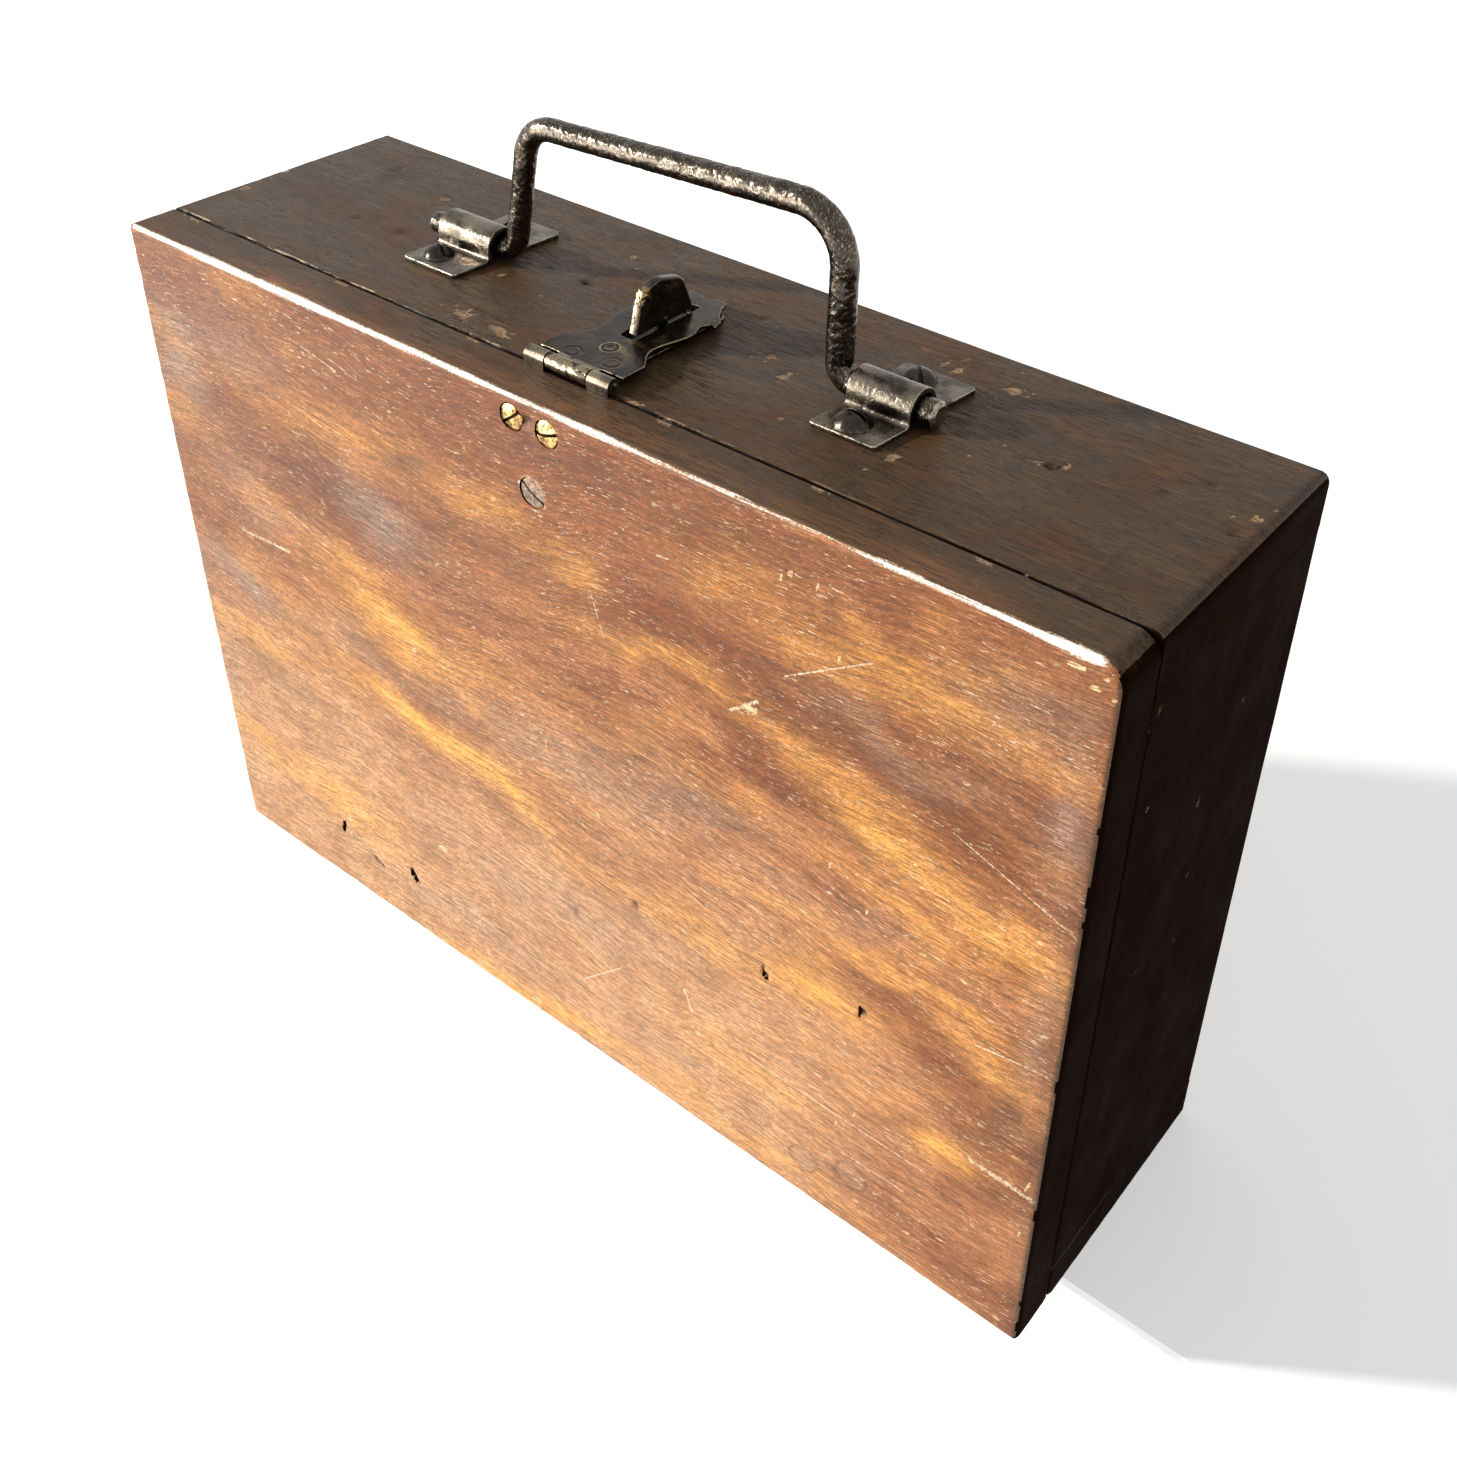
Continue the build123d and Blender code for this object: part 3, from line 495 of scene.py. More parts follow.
def new_material(name, **fixed):
    """A material with its shader's plain values set; returns it, its web and its shader."""
    material = bpy.data.materials.new(name)
    material.use_nodes = True
    shader = material.node_tree.nodes["Principled BSDF"]
    for key, value in fixed.items():
        shader.inputs[key.replace("_", " ").title().replace("Ior", "IOR")].default_value = value
    return material, Web(material.node_tree), shader


def drive(web, shader, **sockets):
    """Links outputs to a shader's inputs, which are named in lower case."""
    for key, value in sockets.items():
        web.tree.links.new(value, shader.inputs[key.replace("_", " ").title()])


def new_group(name, kind, output, **inputs):
    """A node group with named inputs and one output; returns its web and its inputs."""
    group = bpy.data.node_groups.new(name, kind)
    for label, socket in inputs.items():
        group.interface.new_socket(label.replace("_", " "), in_out="INPUT", socket_type=f"NodeSocket{socket}")
    group.interface.new_socket(output[0], in_out="OUTPUT", socket_type=f"NodeSocket{output[1]}")
    return Web(group), group.nodes.new("NodeGroupInput").outputs


def end_group(web, result):
    """Sends the result to the group's output and returns the group."""
    end = web.tree.nodes.new("NodeGroupOutput")
    web.tree.links.new(result, end.inputs[0])
    return web.tree


def scratch_group():
    """Node group: a thin straight scratch between two points, broken up along its length."""
    web, source = new_group("scratch", "ShaderNodeTree", ("Mask", "Float"),
                            Place="Vector", Start="Vector", End="Vector", Width="Float")
    vector = "ShaderNodeVectorMath"
    from_start = web.add(vector, {0: source["Place"], 1: source["Start"]}, operation="SUBTRACT")
    whole = web.add(vector, {0: source["End"], 1: source["Start"]}, operation="SUBTRACT")
    along = web.add(vector, {0: from_start, 1: whole}, out=1, operation="DOT_PRODUCT")
    square = web.add(vector, {0: whole, 1: whole}, out=1, operation="DOT_PRODUCT")
    reach = web.math("DIVIDE", along, square, clamp=True)
    nearest = web.add(vector, {0: whole, "Scale": reach}, operation="SCALE")
    apart = web.add(vector, {0: from_start, 1: nearest}, operation="SUBTRACT")
    distance = web.add(vector, {0: apart}, out=1, operation="LENGTH")
    broken = web.noise(source["Place"], 900.0, 2.0)
    ratio = web.math("DIVIDE", distance, source["Width"])
    ratio = web.plus(ratio, web.span(broken, 0.35, 0.75, 0.0, 0.9))
    return end_group(web, web.span(ratio, 0.6, 1.1, 1.0, 0.0))


def scratches(web, lines):
    """The strongest of several scratches at each point; each line has two ends and a width."""
    group = bpy.data.node_groups.get("scratch") or scratch_group()
    place = web.add("ShaderNodeTexCoord", out=3)
    total = None
    for start, end, width in lines:
        mask = web.add("ShaderNodeGroup", {"Place": place, "Start": start, "End": end, "Width": width},
                       node_tree=group)
        total = mask if total is None else web.most(total, mask)
    return total


def grain_stretch(axis, along, across):
    """Scale that draws noise out along the grain's axis."""
    return tuple(along if a == axis else across for a in range(3))


def tinted(colour, *factors):
    """A colour times one factor, or times a factor each for red, green and blue."""
    return tuple(c * f for c, f in zip(colour, factors * 3 if len(factors) == 1 else factors))


def coats(web, colour, *layers):
    """Lays colours over each other; each layer is a mask and a colour."""
    for mask, paint_colour in layers:
        colour = web.mix(mask, colour, paint_colour)
    return colour


def worn_through(web, grit, low=0.42, high=0.58):
    """Crisp ragged wear from the soft wear attribute."""
    ragged = web.about(grit, 1.1)
    return web.span(web.plus(web.mask("wear"), ragged), low, high)


PALE_FIBRE = (1.0, 0.8, 0.54)
# Lid dirt: dark stains, and painted shade in the lid's cracks, gouge and the rings round its filled holes.
LID_DIRT_AND_SHADE = (0.055, 0.022, 0.014)
# The worn edge's near-white middle is bare wood together with a painted highlight on the lit front edge,
# where wear reaches furthest.
WORN_EDGE_AND_HIGHLIGHT = ((0.62, 0.4, 0.2), (1.0, 0.98, 0.94))       # at the wear's border and in its middle
CHIPPED_WOOD = ((0.5, 0.27, 0.09), (1.0, 0.8, 0.46))
# Painted sheen: a warm lightening of the lid's top strip near its lit front edge.
PAINTED_WARM_SHEEN = (0.36, 0.14, 0.045)
# Thin varnish also colours the top's painted reflections of the handle's legs and the knob.
THIN_VARNISH_AND_REFLECTION = (0.3, 0.12, 0.05)
# Case dirt: dirt, and painted shade in the top's holes and dents and in the iron screw's slot.
CASE_DIRT_AND_SHADE = (0.012, 0.006, 0.004)
INSIDE_DIRT = (0.05, 0.03, 0.017)
# Painted shade: the black of slits and screw slots, of the seam's gap and of the gaps between a barrel's
# knuckles.
PAINTED_SLIT_SHADE = (0.004, 0.003, 0.002)
PAINTED_SEAM_SHADE = (0.002, 0.0013, 0.001)
PAINTED_KNUCKLE_SHADE = (0.006, 0.004, 0.003)
RED_SPECK = (0.45, 0.05, 0.03)
IRON_STAIN = ((0.17, 0.09, 0.052), (0.45, 0.32, 0.23))
IRON_DIRT = (0.05, 0.026, 0.018)
IRON_RUBBED = (0.62, 0.54, 0.46)
BRASS_GRIME = (0.09, 0.05, 0.02)
# Painted shade in the brass screws' slots.
PAINTED_BRASS_SLOT_SHADE = (0.012, 0.006, 0.003)
GRAIN_SWAY = (7.0, 0.032)     # waves per metre of the lid's grain, and their height in metres
GRAIN_SLOPE = 0.06            # turn of the lid's grain, in radians
# The lid's grain: cells per metre along and across it, shift, detail, roughness, distortion.
LID_GRAIN = {
    "coarse": ((16, 48), (0, 0, 0), 4.0, 0.62, 0.3),
    "streaks": ((30, 480), (1, 2, 3), 3.0, 0.6),
    "fine": ((190, 2500), (0.3, 0.1, 0.7), 3.0, 0.62),
    "long": ((300, 2100), (5.3, 4.1, 0.7), 3.0, 0.65),
    "threads": ((90, 2300), (2.3, 0.4, 1.7), 2.0, 0.55),
    "mottle": ((520, 1500), (3.3, 2.1, 0.9), 4.0, 0.65),
    "lines": ((45, 2600), (1.3, 3.4, 2.7), 3.0, 0.6),
}
# Scratches on the lid's face: two ends, across and up from its lower left corner, and a width. Millimetres.
LID_SCRATCHES = [
    ((31, 147.5), (56, 149.5), 0.9), ((183, 33), (201, 51), 0.55), ((247, 182.5), (256, 190), 0.8),
    ((265, 203), (291, 220), 0.45), ((197, 197), (201, 184), 0.3), ((255, 48.5), (320, 48.5), 0.4),
    ((333.5, 66.6), (354.5, 66.2), 1.5), ((331, 113), (353, 117), 0.5), ((228, 60), (231, 52), 0.8),
    ((60, 167), (70, 164), 0.5), ((75, 235), (96, 231), 0.35), ((222, 221), (226, 221.5), 0.5),
    ((290, 33), (313, 34), 0.4), ((318, 181), (356, 168), 0.35),
]


def lid_grain(web, place):
    """The lid's noises, in the order of LID_GRAIN, drawn out along a swaying grain."""
    sway = web.add("ShaderNodeTexNoise", {"Vector": place, "Scale": GRAIN_SWAY[0], "Detail": 2.0}, out=1)
    sway = web.add("ShaderNodeVectorMath", {0: sway, 1: (0.0, 0.0, GRAIN_SWAY[1])}, operation="MULTIPLY")
    swayed = web.add("ShaderNodeVectorMath", {0: place, 1: sway}, operation="ADD")
    for cells, shift, *noise in LID_GRAIN.values():
        drawn = {"Vector": swayed, "Location": shift, "Rotation": (0, GRAIN_SLOPE, 0),
                 "Scale": grain_stretch(0, *cells)}
        yield web.noise(web.add("ShaderNodeMapping", drawn), 1.0, *noise)


def lid_paint(wood):
    """Worn red stain: orange where it is thin, grey where it is dull, bare at the edges."""
    material, web, shader = new_material("lid_stain", coat_weight=0.04, coat_roughness=0.3,
                                         specular_ior_level=0.27)
    place = web.coords()
    coarse, streaks, fine, long, threads, mottle, lines = lid_grain(web, place)
    grit = web.grit((0.7, 0.1, 0.2), 1500.0)
    cloud = web.noise(place, 55.0, 4.0, 0.6)
    colour = coats(
        web, web.mix(web.span(coarse, 0.36, 0.64), wood.lid_dark, wood.lid_red),
        # deep darkens the face towards the top and pale lightens it towards the bottom: partly stain, partly
        # painted light reflected up from the floor.
        (web.times(web.mask("deep"), 0.72), wood.lid_dark),
        (web.times(web.mask("pale"), web.span(cloud, 0.25, 0.7, 0.6, 1.0), clamp=True), wood.lid_tan),
        (web.times(web.mask("fade"), web.span(coarse, 0.3, 0.6, 1.0, 0.45), clamp=True), wood.lid_grey),
        (web.times(web.mask("thin"), web.span(streaks, 0.3, 0.6, 0.72, 1.15), clamp=True), wood.lid_orange))
    shade = web.times(web.span(streaks, 0.25, 0.75, 0.86, 1.14), web.span(mottle, 0.3, 0.7, 0.72, 1.28))
    shade = web.times(shade, web.span(fine, 0.3, 0.7, 0.62, 1.38))
    shade = web.times(shade, web.span(grit, 0.3, 0.7, 0.82, 1.18))
    shade = web.add("ShaderNodeCombineColor", {0: shade, 1: shade, 2: shade})
    colour = web.mix(1.0, colour, shade, "MULTIPLY")
    flecks = web.most(web.span(fine, 0.63, 0.68, 0.0, 0.35), web.span(long, 0.635, 0.662))
    flecks = web.times(flecks, web.span(cloud, 0.36, 0.6, 0.25, 1.0))
    lines_cut = [(on_lid(*start), on_lid(*end), width * MM) for start, end, width in LID_SCRATCHES]
    scratched = scratches(web, lines_cut)
    ragged = web.plus(web.about(grit, 0.9), web.about(lines, 0.5))
    wear = worn_through(web, web.plus(web.times(grit, 0.35), web.times(lines, 0.75)))
    rim = web.mix(web.span(streaks, 0.3, 0.7), tinted(wood.case_brown, 0.75), tinted(wood.case_brown, 1.7))
    # bare: bare wood at the worn edges, whitened towards the middle by a painted highlight.
    bare = web.mix(web.span(web.plus(web.mask("wear"), web.times(ragged, 0.8)), 0.4, 0.62), *WORN_EDGE_AND_HIGHLIGHT)
    colour = coats(
        web, colour,
        (web.span(threads, 0.33, 0.42, 0.6, 0.0), tinted(wood.lid_dark, 0.6)), (flecks, PALE_FIBRE),
        (web.times(scratched, web.span(grit, 0.38, 0.56, 0.15, 0.85)), PALE_FIBRE),
        # dark: stains, and painted shade in the cracks, the gouge and round the filled holes.
        (web.times(web.mask("dark"), web.span(cloud, 0.2, 0.6, 0.7, 1.0), clamp=True), LID_DIRT_AND_SHADE),
        (web.span(web.plus(web.mask("rim"), ragged), 0.4, 0.62), rim), (wear, bare),
        (web.span(web.plus(web.mask("chip"), web.minus(grit, 0.5)), 0.42, 0.56),
         web.mix(web.span(long, 0.4, 0.6), *CHIPPED_WOOD)))
    rough = web.plus(web.span(mottle, 0.3, 0.7, 0.4, 0.56), web.times(wear, -0.1))
    height = web.plus(web.times(streaks, 0.5), web.times(fine, 0.7))
    height = web.plus(height, web.times(grit, 0.45))
    height = web.minus(height, web.times(scratched, 0.5))
    drive(web, shader, base_color=colour, roughness=rough, normal=web.bump(height, 0.00028))
    return material


def seam_paint(web, colour, wood):
    """A painted highlight in bare-wood colour just behind the seam, where the top board's front edge catches
    the light, and painted shade that blacks out the gap itself.
    """
    place = web.axes(web.coords())
    behind, gap = web.minus(place["Y"], TOP_LOW.y), LID_HIGH.y - TOP_LOW.y
    # rubbed: the painted highlight along the top board's front edge, broken up along its length.
    rubbed = web.times(web.span(behind, 0.0002, 0.0003), web.span(behind, 0.001, 0.0007))
    rubbed = web.times(rubbed, web.span(web.noise(web.coords((90, 500, 90)), 1.0, 4.0, 0.7), 0.5, 0.58))
    rubbed = web.times(rubbed, web.span(place["X"], 0.1, -0.05, 0.15, 0.9))
    # black: painted shade filling the seam's gap.
    black = web.times(web.span(behind, 0.00035, 0.0002), web.span(behind, gap - 0.0003, gap - 0.0002))
    return coats(web, colour, (rubbed, wood.bare), (black, PAINTED_SEAM_SHADE))


def case_paint(name, brown, wood, grain_axis, roughness, gloss, bare, relief, slits=(), seam=False):
    """Dark varnish over brushed stain, chipped to bare wood, whose brightness is bare."""
    material, web, shader = new_material(name, specular_ior_level=gloss)
    coarse = web.layer(grain_axis, (10, 70), detail=4.0, roughness=0.6)
    brush = web.layer(grain_axis, (70, 1100), detail=4.0, roughness=0.6, distortion=0.3)
    threads = web.layer(grain_axis, (130, 1500), (0.6, 0.3, 0.8), 3.0, 0.6)
    cloud = web.grit((0.2, 0.5, 0.1), 45.0, 4.0, 0.6)
    grit = web.grit((0.5, 0.9, 0.4), 1300.0)
    wear = worn_through(web, web.plus(web.times(grit, 0.7), web.times(brush, 0.5)))
    tan = tinted(tinted(wood.bare, bare), 1.0, 0.86, 0.86)
    thin = web.plus(web.mask("thin"), web.about(grit, 0.9))
    colour = coats(
        web, web.mix(web.span(coarse, 0.35, 0.7), tinted(brown, 0.8), tinted(brown, 1.15)),
        (web.span(cloud, 0.5, 0.75, 0.0, 0.35), tinted(brown, 2.0, 1.1, 0.8)),
        (web.span(brush, 0.52, 0.7, 0.0, 0.26), tinted(brown, 3.2)),
        (web.span(threads, 0.34, 0.46, 0.7, 0.0), tinted(brown, 0.3)),
        # glow lays a painted warm sheen on the lid's top strip near its front edge.
        (web.times(web.mask("glow"), web.span(brush, 0.35, 0.62, 0.25, 1.0)), PAINTED_WARM_SHEEN),
        (web.times(wear, 0.85), web.mix(web.span(grit, 0.38, 0.6), tinted(tan, 0.4), tan)),
        # dark: dirt together with painted shade in the top's holes and dents.
        (web.span(thin, 0.45, 0.7, 0.0, 0.75), THIN_VARNISH_AND_REFLECTION), (web.mask("dark"), CASE_DIRT_AND_SHADE))
    # slits: black lines of painted shade where the top has narrow slits.
    if slits:
        colour = web.mix(scratches(web, slits), colour, PAINTED_SLIT_SHADE)
    if seam:
        colour = seam_paint(web, colour, wood)
    rough = web.plus(web.span(cloud, 0.3, 0.7, roughness - 0.08, roughness + 0.1), web.times(wear, 0.3))
    height = web.plus(web.times(brush, 0.6), web.span(threads, 0.33, 0.5))
    drive(web, shader, base_color=colour, roughness=rough, normal=web.bump(height, relief))
    return material


# Steels: how much is rubbed bright, roughness, rust, tint, height of the grain, lift of the black.
STEELS = {
    "hasp_steel": (0.05, 0.22, 0.2, (1.0, 0.9, 0.74), 0.00002, 1.0),
    "hasp_barrel_steel": (0.5, 0.27, 0.04, (1.0, 0.9, 0.72), 0.00002, 3.0),
    "knob_steel": (0.05, 0.24, 0.3, (1.0, 0.9, 0.74), 0.00004, 1.0),
    "saddle_steel": (0.4, 0.23, 0.1, (1.0, 0.98, 0.92), 0.00007, 1.9),
    "handle_steel": (0.12, 0.24, 0.14, (1.0, 0.98, 0.92), 0.000035, 1.6),
    "hinge_steel": (0.55, 0.42, 0.4, (1, 1, 1), 0.00004, 1.0),
    "screw_steel": (0.05, 0.24, 0.12, (1, 1, 1), 0.00003, 1.1),
    "nail_steel": (0.5, 0.5, 0.6, (1, 1, 1), 0.00004, 1.0),
}


def forged_steel(name, metal, gaps=()):
    """Black steel, rubbed bright where it stands out and rusty in its pits, with painted shade blacking out
    screw slots and a barrel's gaps.
    """
    bright, roughness, rust, tint, grain, lift = STEELS[name]
    material, web, shader = new_material(name, metallic=1.0)
    cloud = web.noise(web.coords(), 160.0, 4.0, 0.6)
    grit = web.grit((0.4, 0.2, 0.9), 1900.0)
    edge = web.span(web.mask("edge"), 0.04, 0.26)
    rubbed = web.plus(web.times(edge, 0.75), web.span(cloud, 0.3, 0.75, 0.0, bright), clamp=True)
    rubbed = web.times(rubbed, web.span(grit, 0.3, 0.55, 0.6, 1.0))
    rusty = web.times(web.span(cloud, 0.5, 0.64, 0.0, rust), web.span(grit, 0.42, 0.6, 0.2, 1.0))
    colour = coats(web, web.mix(rubbed, tinted(metal.steel_dark, lift), tinted(metal.steel_bright, *tint)),
                   (rusty, metal.rust), (web.mask("gilt"), metal.brass), (web.mask("red"), RED_SPECK),
                   # groove: painted shade on the floor of a screw's slot.
                   (web.mask("groove"), PAINTED_SLIT_SHADE))
    # Painted shade between a barrel's knuckles.
    for x, back in gaps:
        place = web.axes(web.coords())
        away = web.math("ABSOLUTE", web.minus(place["X"], x))
        gap = web.times(web.span(away, 0.00042, 0.00024), web.span(place["Y"], back, back - 0.0003))
        colour = web.mix(gap, colour, PAINTED_KNUCKLE_SHADE)
    rough = web.span(grit, 0.3, 0.7, roughness - 0.05, roughness + 0.06)
    rough = web.plus(rough, web.times(rusty, 0.35), clamp=True)
    height = web.plus(grit, web.times(cloud, 1.2))
    drive(web, shader, base_color=colour, roughness=rough, normal=web.bump(height, grain))
    return material


def painted_iron():
    """An iron screw with thin worn stain over it."""
    material, web, shader = new_material("painted_iron", metallic=0.35)
    cloud = web.noise(web.coords(), 420.0, 4.0, 0.65)
    grit = web.grit((0.2, 0.6, 0.1), 1700.0, 3.0, 0.6)
    colour = coats(
        web, web.mix(web.span(cloud, 0.35, 0.62), *IRON_STAIN), (web.span(grit, 0.47, 0.36), IRON_DIRT),
        # groove adds painted shade on the floor of the screw's slot.
        (web.span(web.mask("edge"), 0.05, 0.25, 0.0, 0.85), IRON_RUBBED), (web.mask("groove"), CASE_DIRT_AND_SHADE))
    drive(web, shader, base_color=colour, roughness=web.span(cloud, 0.3, 0.7, 0.38, 0.6),
          normal=web.bump(grit, 0.0002))
    return material


def old_brass(metal):
    """Brass with old paint and dirt in its hollows."""
    material, web, shader = new_material("old_brass", metallic=1.0)
    cloud = web.noise(web.coords(), 620.0, 4.0, 0.65)
    grit = web.grit((0.3, 0.7, 0.2), 2300.0, 3.0, 0.6)
    grime = web.span(web.mask("edge"), -0.02, -0.16)
    grime = web.most(grime, web.span(web.plus(cloud, grit), 0.98, 0.88))
    colour = web.mix(web.span(cloud, 0.38, 0.6), tinted(metal.brass, 0.42, 0.3, 0.22), metal.brass)
    # groove adds painted shade on the floor of the slot.
    colour = coats(web, colour, (grime, BRASS_GRIME), (web.mask("groove"), PAINTED_BRASS_SLOT_SHADE))
    drive(web, shader, base_color=colour, roughness=web.span(cloud, 0.35, 0.65, 0.5, 0.26),
          normal=web.bump(cloud, 0.0003))
    return material


def raw_board(name, wood, grain_axis=0):
    """Unpainted wood, gone brown with age."""
    material, web, shader = new_material(name)
    coarse = web.layer(grain_axis, (7, 110), detail=5.0, roughness=0.6, distortion=0.4)
    streaks = web.layer(grain_axis, (30, 900), detail=4.0, roughness=0.65)
    pores = web.layer(grain_axis, (150, 2200), (0.4, 0.8, 0.1), 3.0, 0.6)
    cloud = web.noise(web.coords(), 24.0, 5.0, 0.65)
    colour = coats(
        web, web.mix(web.span(coarse, 0.32, 0.68), tinted(wood.inside, 0.62), tinted(wood.inside, 1.1)),
        (web.span(streaks, 0.34, 0.5, 0.55, 0.0), tinted(wood.inside, 0.42)),
        (web.span(pores, 0.36, 0.44, 0.7, 0.0), tinted(wood.inside, 0.16)),
        (web.span(cloud, 0.42, 0.66, 0.0, 0.4), tinted(wood.inside, 0.5)), (web.mask("dark"), INSIDE_DIRT))
    height = web.plus(streaks, web.times(pores, 0.6))
    drive(web, shader, base_color=colour, roughness=web.span(coarse, 0.3, 0.7, 0.55, 0.72),
          normal=web.bump(height, 0.0003))
    return material


# ---- lid ---------------------------------------------------------------------------------
# Patches on the lid's face: middle across and up from its lower left corner, half width,
# half height, turn in degrees, strength. Millimetres.
THIN_STAIN = [
    (120, 106, 44, 8, -7, 1.0), (152, 100, 24, 7, -5, 0.75), (112, 143, 38, 10, -9, 0.6),
    (82, 163, 26, 5, 5, 0.4), (95, 210, 50, 9, 0, 0.34), (157, 211, 28, 8, -8, 0.36),
    (192, 204, 11, 12, 15, 0.5), (226, 184, 42, 5, 6, 0.45), (272, 182, 26, 5, -14, 0.5),
    (300, 168, 32, 8, -16, 0.72), (336, 156, 22, 7, -14, 0.72), (311, 146, 22, 6, -8, 0.5),
    (302, 121, 40, 4, 0, 0.45), (333, 105, 12, 9, 0, 0.5), (281, 102, 20, 8, 0, 0.75),
    (272, 94, 22, 4, 0, 0.5), (240, 90, 32, 8, 0, 0.3), (15, 50, 26, 6, -8, 0.5),
    (52, 41, 40, 11, -4, 0.62), (32, 101, 30, 4, 3, 0.35), (163, 6, 46, 5, 0, 0.72),
    (253, 42, 26, 9, 0, 0.42), (270, 10, 42, 5, 0, 0.36), (329, 60, 12, 8, 20, 0.85),
    (300, 218, 28, 9, -12, 0.42), (322, 236, 20, 6, 0, 0.3), (250, 222, 24, 10, -10, 0.3),
    (20, 98, 22, 4, 0, 0.3),
]
DULL = [
    (13, 205, 14, 22, 0, 0.9), (42, 222, 20, 12, -10, 0.6), (45, 166, 30, 10, -8, 0.5),
    (108, 188, 20, 12, -20, 0.75), (20, 126, 24, 10, 0, 0.75), (84, 127, 30, 6, -4, 0.6),
    (176, 132, 60, 13, 3, 0.68), (175, 64, 60, 16, 0, 0.55), (125, 20, 42, 9, 0, 0.55),
    (220, 27, 32, 12, 0, 0.45), (280, 130, 48, 7, 4, 0.42), (300, 200, 34, 6, 0, 0.35),
    (334, 222, 20, 14, 0, 0.35), (347, 205, 8, 34, 0, 0.55), (350, 130, 6, 34, 0, 0.5),
    (8, 60, 7, 40, 0, 0.4), (230, 145, 40, 10, 6, 0.4),
]
DARK_STAIN = [
    (122, 209, 11, 3.5, 8, 0.62), (280, 227, 3, 5, 0, 0.4), (30, 85, 22, 8, -10, 0.34),
    (290, 161, 11, 6, -20, 0.45), (343, 92, 7, 20, 0, 0.5), (300, 190, 36, 4, -8, 0.38),
    (345, 60, 8, 6, 0, 0.4), (70, 186, 52, 9, -10, 0.26), (95, 125, 22, 4, -14, 0.34),
    (182, 64, 1.6, 1.6, 0, 0.6), (160, 196, 40, 9, 0, 0.2), (205, 236, 60, 6, 0, 0.22),
]
# Old holes and cracks in the lid's face: middle, half width, half height, turn, depth. The filled holes
# have a middle and a radius; chips, here and on the top, have a middle, a half width and a stretch.
SLIT_CRACKS = [
    (59.9, 27.6, 0.8, 4.4, -14, 1.6), (77.5, 21.6, 5.2, 0.6, -22, 1.1), (98.6, 26.2, 1.2, 4.0, 28, 1.4),
    (208.6, 85.2, 0.8, 3.0, -12, 1.1), (203.8, 85.6, 0.4, 2.2, 16, 0.5), (294.6, 98.6, 1.2, 1.3, 0, 1.2),
    (259.6, 89.4, 0.6, 3.0, 24, 0.9), (222.8, 221.4, 2.2, 0.5, -10, 0.8),
]
FILLED_HOLES = [(257.6, 24.2, 4.8), (276.1, 17.4, 5.2), (294.4, 24.6, 5.6)]
LID_CHIPS = [
    (253.2, 185.4, 1.5, 1.7), (265.7, 235.3, 1.2, 1.1), (158.5, 5.0, 2.0, 1.4), (124.3, 163.8, 1.0, 1.3),
    (352.0, 72.5, 1.5, 0.8), (327.0, 50.0, 1.0, 1.2), (288.0, 43.2, 1.0, 0.8), (345.0, 245.2, 0.7, 2.4),
    (348.6, 242.1, 0.55, 2.4), (351.5, 245.6, 0.9, 1.3), (353.4, 236.0, 0.6, 1.2),
    (338.0, 246.2, 0.45, 2.0), (353.8, 241.0, 0.5, 1.2), (352.6, 229.5, 0.4, 1.4),
    (354.0, 219.0, 0.4, 1.0), (353.2, 205.0, 0.4, 1.2), (327.5, 22.8, 0.8, 1.0), (118.0, 51.0, 1.0, 2.2),
]
SEAM_CHIPS = [
    (12.0, 249.8, 1.4, 2.0), (84.0, 249.8, 1.0, 3.0), (141.0, 249.9, 1.2, 2.4), (212.0, 249.8, 1.4, 2.0),
    (262.0, 249.9, 0.9, 3.4), (310.0, 249.9, 1.1, 2.2),
]
EDGES_WORN = (0.25, 0.3, 0.5, 1.0)              # how far each edge is worn: left, right, bottom, top
GOUGE = (0.1763, 0.2438, 0.0022, 0.0018)        # middle across and up, and two half widths, in metres
STAIN_REACH = 0.0022                            # how far the face's stain wraps round its edges, in metres


def slit(points, spots):
    """Depth of narrow slits in the lid's face, in metres."""
    depth = np.zeros(len(points))
    ragged = 1 + 0.35 * rough_noise(points, 700, 21)
    for cu, cv, half_u, half_v, turn, deep in spots:
        du, dv = points[:, 0] - CORNER.x - cu * MM, points[:, 2] - cv * MM
        reach = np.hypot(*in_patch(du, dv, half_u, half_v, turn))
        depth = np.maximum(depth, deep * MM * (1 - smooth_step(reach * ragged, 0.45, 1.15)))
    return depth


def lid_wear(points, broad, wood):
    """Distance of each point to the lid's nearest front edge, and how worn it is there."""
    sides = np.stack([points[:, 0] - LID_LOW.x, LID_HIGH.x - points[:, 0],
                      points[:, 2] - LID_LOW.z, LID_HIGH.z - points[:, 2]])
    rim = np.hypot(np.clip(sides.min(0), 0, None), np.clip(points[:, 1] - LID_LOW.y, 0, None))
    reach = (1.15 + 0.6 * broad) * np.choose(sides.argmin(0), EDGES_WORN) * MM * wood.edge_wear / 0.6
    wear = np.clip(1.05 - 0.55 * rim / np.maximum(reach, 0.0002), 0, 1)
    wear *= 1 - 0.8 * smooth_step(sides[1] + 0.003 * broad, 0.010, 0.004) * (points[:, 2] > 0.22)
    corner = mound((sides[1], 0.010), (sides[3], 0.0065))
    low_corner = mound((sides[1], 0.006), (points[:, 2], 0.010))
    return rim, np.clip(wear + 0.2 * np.maximum(corner, low_corner) * (0.8 + 0.5 * broad), 0, 1)


def filled_holes(points, front):
    """The plugs of three old holes near the bottom edge, and the rings round them."""
    plug, ring = np.zeros(len(points)), np.zeros(len(points))
    for cu, cv, radius in FILLED_HOLES:
        d = np.hypot(points[:, 0] - CORNER.x - cu * MM, points[:, 2] - cv * MM) / (radius * MM)
        plug = np.maximum(plug, (1 - smooth_step(d, 0.8, 1.0)) * front)
        ring = np.maximum(ring, mound((d - 1, 0.1)) * front)
    return plug, ring


